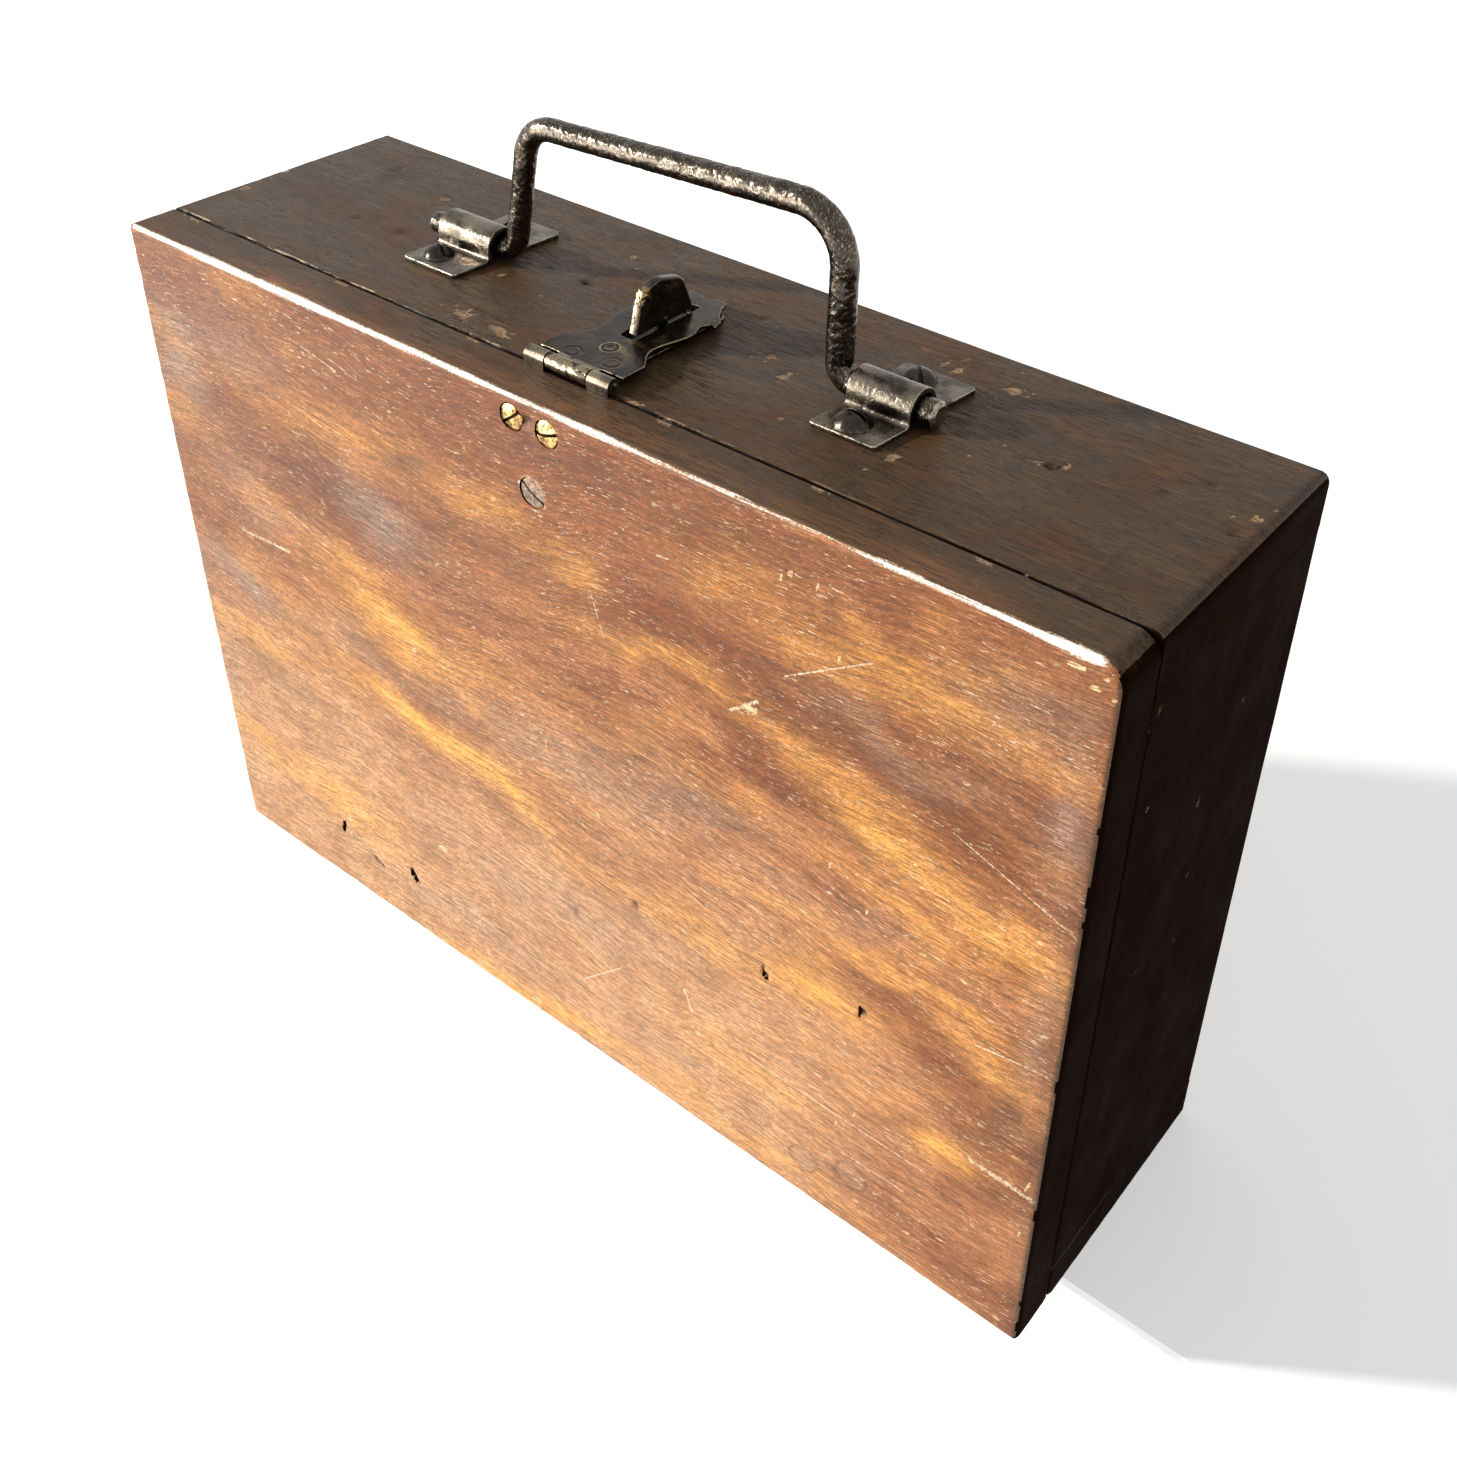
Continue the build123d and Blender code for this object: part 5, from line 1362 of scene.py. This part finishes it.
class SHOEBOX_OT_fasteners(bpy.types.Operator):
    """Makes the screws, nails and pins"""
    bl_idname = "shoebox.fasteners"
    bl_label = "Screws, nails and pins"

    def execute(self, context):
        metal = context.scene.shoebox_metal
        brass = old_brass(metal)
        steel = forged_steel("screw_steel", metal)
        iron = painted_iron()
        dull = forged_steel("nail_steel", metal)
        self.lid_screws(brass, iron)
        self.saddle_screws(steel)
        self.hidden(steel, dull)
        return {"FINISHED"}

    def lid_screws(self, brass, iron):
        """Two brass screws and an iron one in the lid's face, which hold the hasp."""
        front = LID_LOW.y + 0.0003
        (xl, zl, _), (xr, zr, _), (xi, zi, _) = screw_heads()
        places = [((xl, front, zl), facing(FACING_FRONT + 0.06, math.radians(38))),
                  ((xr, front, zr), facing(FACING_FRONT - 0.05, math.radians(13)))]
        fasteners("brass_screws", "brass_blank", places, brass, "screw_brass", "lid", "hasp_brass_screws",
                  batter=0.0009, batter_scale=420.0)
        places = [((xi, front, zi), facing(FACING_FRONT, math.radians(-31)))]
        fasteners("iron_screw", "iron_blank", places, iron, "screw_steel", "lid", "hasp_iron_screw",
                  batter=0.0003)

    def saddle_screws(self, steel):
        """Round-headed screws of both saddles; each pair's slots are turned as given, the front one first."""
        for name, turns in (("left", (-21, 60)), ("right", (0, 134))):
            tops = sorted(heads(f"saddle_screws_{name}", 2, 1), key=lambda place: place[1])
            seat = tops[0][2] - SADDLE_HEADS[name][1]
            places = [((x, y, seat), (0, 0, math.radians(turn))) for (x, y, _), turn in zip(tops, turns)]
            fasteners(f"round_screws_{name}", f"round_blank_{name}", places, steel, "screw_steel", "case",
                      f"saddle_screws_{name}", batter=0.0003, batter_scale=500.0)

    def hidden(self, steel, dull):
        """The screws of the hinges and the knob's plate, the nails of the boards and the pins of the back."""
        for node, body, lean, side in (("hinge_lid_screws", "lid", FACING_BACK, 1),
                                       ("hinge_case_screws", "case", FACING_FRONT, 0)):
            places = [(place, facing(lean, 0.4 * i)) for i, place in enumerate(heads(node, 1, side))]
            fasteners(node.replace("hinge", "leaf"), "hinge_blank", places, steel, "hinge_steel", body, node)
        places = [(place, (0, 0, 0.5 + i)) for i, place in enumerate(heads("knob_plate_screws", 2, 1))]
        fasteners("plate_screws", "plate_blank", places, steel, "screw_steel", "case", "knob_plate_screws")
        for node, lean, side in (("top_board_nails", 0, 1), ("bottom_board_nails", math.pi, 0)):
            places = [(place, (lean, 0, 0)) for place in heads(node, 2, side)]
            name = node.replace("board", "carcass")
            fasteners(name, "nail_blank", places, dull, "nail_steel", "case", node)
        places = [(place, (FACING_BACK, 0, 0)) for place in heads("back_panel_pins", 1, 1)]
        fasteners("panel_pins", "pin_blank", places, dull, "nail_steel", "case", "back_panel_pins",
                  batter=0.0002)


# ---- forged and sheet metal --------------------------------------------------------------
def forged(name, node, voxel, dent, seed, shape=None, rounds=2):
    """A battered copy of a CAD node on a fine even grid; shape may move its points first."""
    obj = cad_copy(name, node)
    grid = obj.modifiers.new("grid", "REMESH")
    grid.mode, grid.voxel_size, grid.use_smooth_shade = "VOXEL", voxel, True
    soften = obj.modifiers.new("soften", "SMOOTH")
    soften.factor, soften.iterations = 0.5, rounds
    baked(obj)
    mesh = obj.data
    points, normals = vertex_array(mesh), vertex_array(mesh, "normal")
    offset = dent * (0.55 * rough_noise(points, 230, seed) + 0.5 * rough_noise(points, 800, seed + 4))
    pits = smooth_step(rough_noise(points, 520, seed + 8, 4), 0.35, 0.9)
    offset -= 1.1 * dent * pits
    gilt, rubbed = np.zeros(len(points)), 0
    if shape:
        points, extra, gilt, rubbed = shape(points, normals)
        offset += extra
    set_vertices(mesh, points + normals * offset[:, None])
    store(mesh, "edge", convexity(mesh) - 0.25 * pits + rubbed)
    store(mesh, "gilt", gilt)
    return smooth(obj, 0)


# Lengths of the hasp's outer knuckles, to the middle of their gaps. Metres.
LEFT_KNUCKLE, RIGHT_KNUCKLE = 0.0077, 0.0081
# Rings punched in the hasp's leaf: middle across and back, radius and depth. Millimetres.
PUNCHED_RINGS = ((177.2, 31.9, 2.2, 0.42), (170.8, 23.8, 2.4, 0.16), (183.7, 25.5, 2.6, 0.12))
# Specks on the handle: along, off its middle plane, height and radius. Metres.
GILT_SPECKS = [(0.0605, -0.003, 0.2954, 0.0009)]
RED_SPECKS = [(0.0243, -0.0029, 0.298, 0.0007), (0.0532, -0.0029, 0.3034, 0.0007)]


class SHOEBOX_OT_hasp(bpy.types.Operator):
    """Makes the hasp: both leaves and the pin"""
    bl_idname = "shoebox.hasp"
    bl_label = "Hasp"

    def execute(self, context):
        metal = context.scene.shoebox_metal
        low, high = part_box("hasp_base_leaf")
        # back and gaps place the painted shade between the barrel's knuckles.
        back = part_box("hasp_pin")[1].y + 0.0015
        gaps = [(low.x + LEFT_KNUCKLE, back), (high.x - RIGHT_KNUCKLE, back)]
        steel = forged_steel("hasp_steel", metal, gaps)
        leaf = forged("hasp_leaf_worn", "hasp_leaf", metal.sheet_voxel, dent=0.00003, seed=101,
                      shape=self.leaf_marks, rounds=1)
        finish_piece(leaf, steel, "hasp_steel", "hasp", "hasp_leaf")
        barrel = forged_steel("hasp_barrel_steel", metal, gaps)
        for node in ("hasp_base_leaf", "hasp_pin"):
            finish_piece(smooth(cad_copy(f"{node}_worn", node), 35), barrel, "hasp_steel", "lid", node)
        return {"FINISHED"}

    @staticmethod
    def leaf_marks(points, normals):
        """Punched rings, scratches round the knob and the hand-cut tail."""
        x, y = points[:, 0] - CORNER.x, points[:, 1] - CORNER.y
        up = smooth_step(normals[:, 2], 0.3, 0.8)
        extra = np.zeros(len(points))
        for cx, cy, radius, deep in PUNCHED_RINGS:
            d = np.hypot(x - cx * MM, y - cy * MM) / MM
            extra -= deep * MM * mound((d - radius, 0.35)) * up
            extra += 0.4 * deep * MM * mound((d - radius + 0.75, 0.4)) * up
        ragged = rough_noise(points, (420, 420, 120), 107, 4)
        tail = smooth_step(y, 0.058, 0.066)
        side = np.sqrt(np.clip(1 - normals[:, 2] ** 2, 0, 1))
        extra += 0.0003 * ragged * side * (0.35 + 0.65 * tail)
        bent = points.copy()
        bent[:, 2] -= 0.0007 * smooth_step(y, 0.062, 0.083)
        gilt = 0.55 * mound((x - 0.1825, 0.0035), (y - 0.045, 0.010)) * up
        gilt *= smooth_step(rough_noise(points, 400, 108, 4), 0.0, 0.5)
        low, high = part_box("hasp_pin")
        barrel = np.hypot(points[:, 1] - (low.y + high.y) / 2, points[:, 2] - (low.z + high.z) / 2)
        cx, cy, radius, _ = PUNCHED_RINGS[0]
        ring = np.hypot(x - cx * MM, y - cy * MM) / MM
        # rubbed: the barrel rubbed bright; round the first punched ring, painted shade darkens its groove and
        # a painted highlight lightens its outer edge.
        rubbed = 0.15 * smooth_step(barrel, 0.0046, 0.0036) + 0.16 * mound((ring - radius - 0.7, 0.3)) * up
        rubbed -= 0.3 * mound((ring - radius, 0.3)) * up
        return bent, extra, gilt, rubbed


class SHOEBOX_OT_knob(bpy.types.Operator):
    """Makes the turn knob and its plate"""
    bl_idname = "shoebox.knob"
    bl_label = "Turn knob"

    def execute(self, context):
        metal = context.scene.shoebox_metal
        steel = forged_steel("knob_steel", metal)
        knob = forged("knob_worn", "turn_knob", voxel=0.00024, dent=0.00005, seed=131,
                      shape=self.knob_marks)
        finish_piece(knob, steel, "hasp_steel", "knob", "turn_knob")
        plate = forged("knob_plate_worn", "knob_plate", voxel=0.0003, dent=0.00005, seed=141)
        finish_piece(plate, steel, "hasp_steel", "case", "knob_plate")
        return {"FINISHED"}

    @staticmethod
    def knob_marks(points, normals):
        """The knob's dented corner with its gilt, and its front face lightened: partly rubbed steel, partly a
        painted highlight on the side the light falls on.
        """
        low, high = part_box("turn_knob")
        corner = np.array([(low.x + high.x) / 2, low.y + 0.003, high.z - 0.003])
        near = mound((np.linalg.norm(points - corner, axis=1), 0.0032))
        gilt = 0.7 * near * smooth_step(rough_noise(points, 500, 133, 4), -0.1, 0.6)
        # front: the face towards the light made brighter, partly rubbed, partly a painted highlight.
        front = 0.26 * smooth_step(-normals[:, 1], 0.6, 0.95)
        front *= smooth_step(points[:, 0], corner[0] + 0.001, corner[0] - 0.001)
        return points, -0.0004 * near * rough_noise(points, 420, 134), gilt, front


class SHOEBOX_OT_saddles(bpy.types.Operator):
    """Makes the handle's two saddles"""
    bl_idname = "shoebox.saddles"
    bl_label = "Handle saddles"

    def execute(self, context):
        metal = context.scene.shoebox_metal
        steel = forged_steel("saddle_steel", metal)
        for name, seed in (("left", 151), ("right", 161)):
            node = f"handle_saddle_{name}"
            saddle = forged(f"saddle_{name}", node, metal.sheet_voxel, dent=0.00006, seed=seed, rounds=1)
            finish_piece(saddle, steel, "saddle_steel", "case", node)
        return {"FINISHED"}


# ---- handle ------------------------------------------------------------------------------
def filleted_route(corners, bends, step):
    """Points along straight runs joined by round bends, about one step apart."""
    stops = [Vector(corners[0])]
    for before, corner, after, bend in zip(corners, corners[1:], corners[2:], bends):
        before, corner, after = Vector(before), Vector(corner), Vector(after)
        a, b = (before - corner).normalized(), (after - corner).normalized()
        half = a.angle(b) / 2
        start, end = corner + a * bend / math.tan(half), corner + b * bend / math.tan(half)
        centre = corner + (a + b).normalized() * bend / math.sin(half)
        first, last = start - centre, end - centre
        sweep = first.angle(last)
        count = max(3, round(bend * sweep / step))
        for i in range(count + 1):
            t = i / count
            turned_to = first * math.sin((1 - t) * sweep) + last * math.sin(t * sweep)
            stops.append(centre + turned_to / math.sin(sweep))
    stops.append(Vector(corners[-1]))
    points = [stops[0]]
    for a, b in zip(stops, stops[1:]):
        count = max(1, round((b - a).length / step))
        points += [a.lerp(b, (i + 1) / count) for i in range(count)]
    return points


def rod_tree():
    """Sweeps a round section along a route, as thick as its girth attribute says, with forge marks."""
    web, source = new_group("forged_rod", "GeometryNodeTree", ("Geometry", "Geometry"), Geometry="Geometry",
                            Sides="Int", Dents="Float", Dent_scale="Float", Pits="Float", Pit_scale="Float",
                            Finish="Material")
    girth = web.add("GeometryNodeInputNamedAttribute", {"Name": "girth"}, data_type="FLOAT")
    curve = web.add("GeometryNodeMeshToCurve", {"Mesh": source["Geometry"]})
    ring = web.add("GeometryNodeCurvePrimitiveCircle", {"Resolution": source["Sides"], "Radius": 1.0})
    rod = web.add("GeometryNodeCurveToMesh", {"Curve": curve, "Profile Curve": ring, "Scale": girth,
                                              "Fill Caps": True})
    place, normal = web.add("GeometryNodeInputPosition"), web.add("GeometryNodeInputNormal")
    broad = web.noise(place, source["Dent scale"], 2.0)
    pits = web.noise(place, source["Pit scale"], 3.0, 0.6)
    depth = web.about(broad, source["Dents"])
    depth = web.plus(depth, web.times(web.span(pits, 0.45, 0.62, 0.0, -1.0), source["Pits"]))
    offset = web.add("ShaderNodeVectorMath", {0: normal, "Scale": depth}, operation="SCALE")
    moved = web.add("GeometryNodeSetPosition", {"Geometry": rod, "Offset": offset})
    solid = web.add("GeometryNodeRealizeInstances", {"Geometry": moved})
    coated = {"Geometry": solid, "Material": source["Finish"]}
    return end_group(web, web.add("GeometryNodeSetMaterial", coated))


class SHOEBOX_OT_handle(bpy.types.Operator):
    """Makes the forged rod handle"""
    bl_idname = "shoebox.handle"
    bl_label = "Handle"

    def execute(self, context):
        sizes, metal = context.scene.shoebox_handle, context.scene.shoebox_metal
        low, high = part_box("handle_bail")
        y, z = (low.y + high.y) / 2, low.z + sizes.rod_right
        across = (low.x, -sizes.left_leg_foot, -sizes.left_leg_top,
                  sizes.right_leg_top, sizes.right_leg_foot, high.x)
        heights = (0, 0, sizes.left_height, sizes.right_height, 0, 0)
        corners = [(x, y, z + height) for x, height in zip(across, heights)]
        bends = [sizes.foot_left_bend, sizes.grip_left_bend, sizes.grip_right_bend, sizes.foot_right_bend]
        route = filleted_route(corners, bends, step=0.00036)
        girth = self.girths(route, sizes)
        rod = mesh_object("handle_rod", route, [])
        rod.data.edges.add(len(route) - 1)
        rod.data.edges.foreach_set("vertices", [i + k for i in range(len(route) - 1) for k in (0, 1)])
        store(rod.data, "girth", girth)
        modifier = rod.modifiers.new("rod", "NODES")
        modifier.node_group = rod_tree()
        steel = forged_steel("handle_steel", metal)
        set_inputs(modifier, sides=72, dents=0.0005, dent_scale=230.0, pits=metal.pit_depth,
                   pit_scale=620.0, finish=steel)
        baked(rod)
        store(rod.data, "edge", 1.4 * convexity(rod.data))
        store(rod.data, "gilt", self.specks(rod.data, y, GILT_SPECKS))
        store(rod.data, "red", self.specks(rod.data, y, RED_SPECKS))
        finish_piece(smooth(rod, 0), steel, "handle_steel", "handle", "handle_bail")
        return {"FINISHED"}

    @staticmethod
    def girths(route, sizes):
        """Radius at each point: slightly thicker to the right, and rounded off at both ends."""
        along = np.concatenate([[0], np.cumsum([(b - a).length for a, b in zip(route, route[1:])])])
        total = along[-1]
        left, right = sizes.rod_left, sizes.rod_right
        radius = np.interp(along / total, [0, 0.2, 0.35, 0.65, 0.8, 1],
                           [left, left, 1.03 * left, 0.975 * right, right, right])
        rounding = 0.0009
        for end in (along, total - along):
            near = np.clip(1 - end / rounding, 0, 1)
            radius *= 1 - 0.3 * near ** 2
        return radius

    @staticmethod
    def specks(mesh, y, places):
        """A mask of small round specks; y is the handle's middle plane."""
        points, total = vertex_array(mesh), 0
        for x, off, z, radius in places:
            away = np.linalg.norm(points - np.array((x, y + off, z)), axis=1)
            total = np.maximum(total, smooth_step(away, 1.3 * radius, 0.8 * radius))
        return total


# ---- hinges ------------------------------------------------------------------------------
class SHOEBOX_OT_hinges(bpy.types.Operator):
    """Finishes the two lid hinges"""
    bl_idname = "shoebox.hinges"
    bl_label = "Lid hinges"

    def execute(self, context):
        metal = context.scene.shoebox_metal
        steel = forged_steel("hinge_steel", metal)
        for side in ("left", "right"):
            for piece in ("lid_leaf", "case_leaf", "pin"):
                node = NODES[f"hinge_{side}_{piece}"]
                for slot in node.material_slots:
                    slot.material = steel
        return {"FINISHED"}


# ---- stage -------------------------------------------------------------------------------
# Places and lengths are in metres; the lamps' places only give the side that they shine from.
CAMERA_PLACE = (0.29114, -0.31634, 0.46806)
CAMERA_AIM = (-0.01150, 0.08666, 0.125)
CAMERA_ROLL = 1.722                  # in degrees
CAMERA_SHIFT = (-0.0542, -0.1208)    # as shares of the picture's longer side
SENSOR_WIDTH = 36.0                  # in millimetres
KEY_FROM = (-0.74, -0.46, 0.30)
KEY_COLOUR = (1.0, 0.955, 0.89)
SOFTBOX_FROM = (-0.62, -0.74, 0.16)
SOFTBOX_COLOUR = (1.0, 0.97, 0.92)
SOFTBOX_SIZE, SOFTBOX_AWAY = 0.75, 1.5
FLOOR_REACH = 3.0                    # from the middle to each edge of the floor
BEHIND_HINGES = 0.009                # from the hinges' pins back to the floor's step
NEAR_GLOW, LOWER_GLOW = 0.42, 0.58   # what the floor adds to its light round the box, and below the step


class SHOEBOX_OT_stage(bpy.types.Operator):
    """Makes the floor, the lamps and the camera"""
    bl_idname = "shoebox.stage"
    bl_label = "Stage"

    def execute(self, context):
        scene, stage = context.scene, context.scene.shoebox_stage
        scene.view_settings.view_transform = "Standard"
        self.world(scene, stage)
        key = bpy.data.lights.new("key", "SUN")
        key.energy, key.angle, key.color = stage.sun, math.radians(3.0), KEY_COLOUR
        lamp = new_object("key", key)
        lamp.rotation_euler = Vector(KEY_FROM).to_track_quat("Z", "Y").to_euler()
        soft = bpy.data.lights.new("softbox", "AREA")
        soft.energy, soft.size, soft.color = stage.softbox, SOFTBOX_SIZE, SOFTBOX_COLOUR
        lamp = new_object("softbox", soft)
        lamp.location = SOFTBOX_AWAY * Vector(SOFTBOX_FROM).normalized()
        lamp.rotation_euler = Vector(SOFTBOX_FROM).to_track_quat("Z", "Y").to_euler()
        lamp.visible_diffuse = lamp.visible_transmission = False
        self.floor(stage)
        camera = bpy.data.cameras.new("camera")
        camera.lens, camera.sensor_width = stage.lens, SENSOR_WIDTH
        camera.shift_x, camera.shift_y = CAMERA_SHIFT
        camera.clip_start, camera.clip_end = 0.01, 20.0
        eye = new_object("camera", camera)
        look = (Vector(CAMERA_AIM) - Vector(CAMERA_PLACE)).normalized()
        turn = look.to_track_quat("-Z", "Y").to_matrix() @ Matrix.Rotation(math.radians(CAMERA_ROLL), 3, "Z")
        eye.matrix_world = Matrix.Translation(CAMERA_PLACE) @ turn.to_4x4()
        scene.camera = eye
        return {"FINISHED"}

    def floor(self, stage):
        """A pale floor with a step down under the hinges, so that the lid can drop past the box's bottom."""
        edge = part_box("hinge_left_pin")[1].y + BEHIND_HINGES
        profile = ((-FLOOR_REACH, -stage.step), (edge, -stage.step), (edge, 0), (FLOOR_REACH, 0))
        points = [(x, y, z) for y, z in profile for x in (-FLOOR_REACH, FLOOR_REACH)]
        floor = mesh_object("floor", points, [(i, i + 1, i + 3, i + 2) for i in (0, 2, 4)])
        floor.data.materials.append(self.floor_paint(stage))
        return floor

    @staticmethod
    def seen(web):
        """1 for what the camera, gloss and glass see, and 0 for soft light."""
        path = web.tree.nodes.new("ShaderNodeLightPath").outputs
        seen = web.most(path["Is Camera Ray"], path["Is Glossy Ray"])
        return web.most(seen, path["Is Transmission Ray"])

    def world(self, scene, stage):
        world = bpy.data.worlds.new("studio")
        world.use_nodes = True
        web = Web(world.node_tree)
        back = world.node_tree.nodes["Background"]
        back.inputs["Color"].default_value = (1, 1, 1, 1)
        web.tree.links.new(web.blend(self.seen(web), stage.world, 1.0), back.inputs["Strength"])
        scene.world = world

    def floor_paint(self, stage):
        material, web, shader = new_material("floor", roughness=0.9, specular_ior_level=0.0)
        shader.inputs["Base Color"].default_value = (*stage.floor, 1)
        shader.inputs["Emission Color"].default_value = (1, 1, 1, 1)
        place = web.add("ShaderNodeTexCoord", out=3)
        away = web.add("ShaderNodeVectorMath", {0: place}, out=1, operation="LENGTH")
        below = web.span(web.axes(place)["Z"], -0.001, -0.004, 0.0, LOWER_GLOW)
        glow = web.most(web.span(away, 0.3, 1.0, NEAR_GLOW, 1.0), below)
        glow = web.times(self.seen(web), glow)
        web.tree.links.new(glow, shader.inputs["Emission Strength"])
        return material


# ---- panel and running order -------------------------------------------------------------
STEPS = (SHOEBOX_OT_lid, SHOEBOX_OT_case, SHOEBOX_OT_fasteners, SHOEBOX_OT_hasp, SHOEBOX_OT_knob,
         SHOEBOX_OT_saddles, SHOEBOX_OT_handle, SHOEBOX_OT_hinges, SHOEBOX_OT_stage)
GROUPS = {"shoebox_wood": ShoeBoxWood, "shoebox_metal": ShoeBoxMetal, "shoebox_handle": ShoeBoxHandle,
          "shoebox_stage": ShoeBoxStage}


class SHOEBOX_PT_panel(bpy.types.Panel):
    """Lists the box's sizes, colours and steps"""
    bl_idname = "SHOEBOX_PT_panel"
    bl_label = "Shoe shine box"
    bl_space_type = "VIEW_3D"
    bl_region_type = "UI"
    bl_category = "Shoe box"

    def draw(self, context):
        for name, group in GROUPS.items():
            box = self.layout.box()
            box.label(text=group.__doc__)
            for prop in group.__annotations__:
                box.prop(getattr(context.scene, name), prop)
        for step in STEPS:
            self.layout.operator(step.bl_idname)


def register():
    """Adds the classes, and the groups of sizes and colours to every scene."""
    for cls in (*GROUPS.values(), *STEPS, SHOEBOX_PT_panel):
        bpy.utils.register_class(cls)
    for name, group in GROUPS.items():
        setattr(bpy.types.Scene, name, bpy.props.PointerProperty(type=group))


def unregister():
    for name in GROUPS:
        delattr(bpy.types.Scene, name)
    for cls in reversed((*GROUPS.values(), *STEPS, SHOEBOX_PT_panel)):
        bpy.utils.unregister_class(cls)


def main():
    """Runs every step."""
    register()
    for step in STEPS:
        family, name = step.bl_idname.split(".")
        getattr(getattr(bpy.ops, family), name)()


if __name__ == "__main__":
    main()
